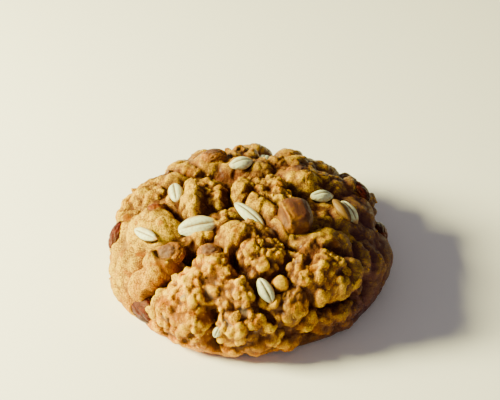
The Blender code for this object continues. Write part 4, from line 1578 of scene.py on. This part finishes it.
@dataclass
class Crumbs:
    """Crumbs baked onto the dough, from sugar grains to bits of oat."""

    dough: Dough
    count: int = 1500
    half_size: tuple[float, float] = (0.16, 0.44)
    reach: float = 45.0
    sunk: float = 0.1
    lumpiness: float = 0.06
    stretch: tuple[float, float] = (0.7, 1.2)
    sides: int = 10
    rings: int = 7

    def piece(self, finish: bpy.types.Material) -> bpy.types.Object:
        """Small uneven balls, more than half sunk in the dough, scattered by seeded draws.

        Args:
            finish: the material.

        Returns:
            The new piece.
        """
        draw = np.random.default_rng(SEED + 7)
        tries = self.count * 3
        u, v, rough, calm = self.dough.scatter(draw, tries, self.reach)
        keep = np.flatnonzero((calm < 0.02) & (rough > draw.uniform(0.0, 0.7, tries)))[: self.count]
        u, v = u[keep], v[keep]
        place = self.dough.sample(self.dough.points, u, v)
        place -= self.sunk * self.dough.sample(self.dough.normals, u, v)
        unit, faces = ball(self.sides, self.rings)
        low, high = self.half_size
        size = low + (high - low) * draw.uniform(0, 1, len(u)) ** 2.5
        spread = size[:, None] * draw.uniform(*self.stretch, (len(u), 3))
        lumpy = 1 + self.lumpiness * draw.uniform(-1, 1, (len(u), len(unit)))
        points = place[:, None, :] + unit[None] * lumpy[..., None] * spread[:, None, :]
        points[..., 2] = np.maximum(points[..., 2], CLEAR_OF_FLOOR)
        every, all_faces = many(points, faces)
        # their tone is the dough's level there, with its painted light and shade
        level = self.dough.sample(self.dough.marks["level"], u, v) + draw.uniform(-0.05, 0.22, len(u))
        marks = {
            "level": np.repeat(np.clip(level, 0, 1), len(unit)),
            "toast": np.repeat(draw.uniform(0, 0.5, len(u)), len(unit)),
            "fuzz": np.full(len(every), 0.3),
        }
        return make_piece("crumbs", every, all_faces.tolist(), finish, marks)


@dataclass(frozen=True)
class Lamp:
    """A square soft light: its place and side in metres, power in watts and colour."""

    name: str
    place: tuple[float, float, float]
    side: float
    power: float
    colour: Colour


@dataclass
class Studio:
    """The pale floor, the soft lights and the camera at the photo's angle."""

    elevation: float = 38.0
    distance: float = 0.42
    target_height: float = 0.012
    aim_above: float = 1.285
    aim_left: float = 0.029
    lens: float = 113.34
    floor_half: float = 3.0
    floor_colour: Colour = (0.92, 0.91, 0.90)
    world_colour: Colour = (1.0, 0.93, 0.92)
    world_strength: float = 0.22
    key: Lamp = Lamp("key", (-0.41, -0.02, 0.24), 0.15, 15.0, (1.0, 0.95, 0.46))
    fill: Lamp = Lamp("fill", (0.05, -0.45, 0.35), 0.40, 0.30, (1.0, 0.90, 0.90))

    def build(self) -> None:
        """Adds the floor, the lights, the surround and the camera."""
        self.add_floor()
        self.add_light(self.key)
        self.add_light(self.fill)
        self.add_world()
        self.add_camera()

    def add_floor(self) -> None:
        """A plain pale square at the height of the foot."""
        size = self.floor_half / MM
        corners = np.array([[-size, -size, 0.0], [size, -size, 0.0], [size, size, 0.0], [-size, size, 0.0]])
        made, _, shader = new_material("Pale floor")
        shader.inputs["Base Color"].default_value = (*self.floor_colour, 1.0)
        shader.inputs["Roughness"].default_value = 0.9
        floor = make_piece("floor", corners, [[0, 1, 2, 3]], made)

    def add_light(self, lamp: Lamp) -> None:
        """Adds a light, aimed at the cookie.

        Args:
            lamp: what it is like.
        """
        light = bpy.data.lights.new(lamp.name, "AREA")
        light.size = lamp.side
        light.energy = lamp.power
        light.color = lamp.colour
        made = bpy.data.objects.new(lamp.name, light)
        bpy.context.scene.collection.objects.link(made)
        x, y, z = lamp.place
        made.location = lamp.place
        flat = math.hypot(x, y)
        made.rotation_euler = (math.atan2(flat, z - self.target_height), 0.0, math.atan2(-x, y) + math.pi)

    def add_world(self) -> None:
        """An even pale surround."""
        world = bpy.data.worlds.new("studio")
        world.use_nodes = True
        shader = world.node_tree.nodes["Background"]
        shader.inputs["Color"].default_value = (*self.world_colour, 1.0)
        shader.inputs["Strength"].default_value = self.world_strength
        bpy.context.scene.world = world

    def add_camera(self) -> None:
        """A long lens at the photo's elevation, aimed a little above the middle as the photo is framed."""
        camera = bpy.data.cameras.new("camera")
        camera.lens = self.lens
        camera.sensor_width = 36.0
        camera.clip_start = 0.01
        made = bpy.data.objects.new("camera", camera)
        bpy.context.scene.collection.objects.link(made)
        angle = math.radians(self.elevation)
        height = self.target_height + self.distance * math.sin(angle)
        made.location = (0.0, -self.distance * math.cos(angle), height)
        made.rotation_euler = (
            math.pi / 2 - math.radians(self.elevation - self.aim_above), 0.0, math.radians(self.aim_left))
        bpy.context.scene.camera = made


def main() -> None:
    """Builds the cookie and the studio round it."""
    relief = Relief(Skin(), LUMPS, CRACKS)
    crumb = CrumbGroup().build()
    baked = DoughFinish().build(crumb)

    seats = tuple(seat for seat, _, _ in RAISINS)
    stained = tuple(seat for seat, kind, _ in RAISINS if kind is not Skinned.BARE)
    dough = Dough(relief, GRAINS + seats, stained)
    dough.build()
    piece = dough.piece(baked)
    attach(piece, "root")
    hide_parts("dough")
    log.info("dough: %d faces", len(piece.data.polygons))

    raisins = Raisins(relief, RAISINS)
    for piece in raisins.pieces({finish.kind: finish.build(crumb) for finish in RAISIN_FINISHES}):
        log.info("%s: %d faces", piece.name, len(piece.data.polygons))

    others = (
        OatGrains(relief, GRAINS).piece("oat_grains", GrainFinish().build()),
        OatGrains(relief, HUSKS).piece("oat_husk", HUSK_FINISH.build()),
        OatFlakes(dough).piece(baked),
        Crumbs(dough).piece(baked),
    )
    for piece in others:
        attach(piece, "root")
        log.info("%s: %d faces", piece.name, len(piece.data.polygons))

    Studio().build()


if __name__ == "__main__":
    logging.basicConfig(level=logging.INFO, format="%(message)s")
    main()
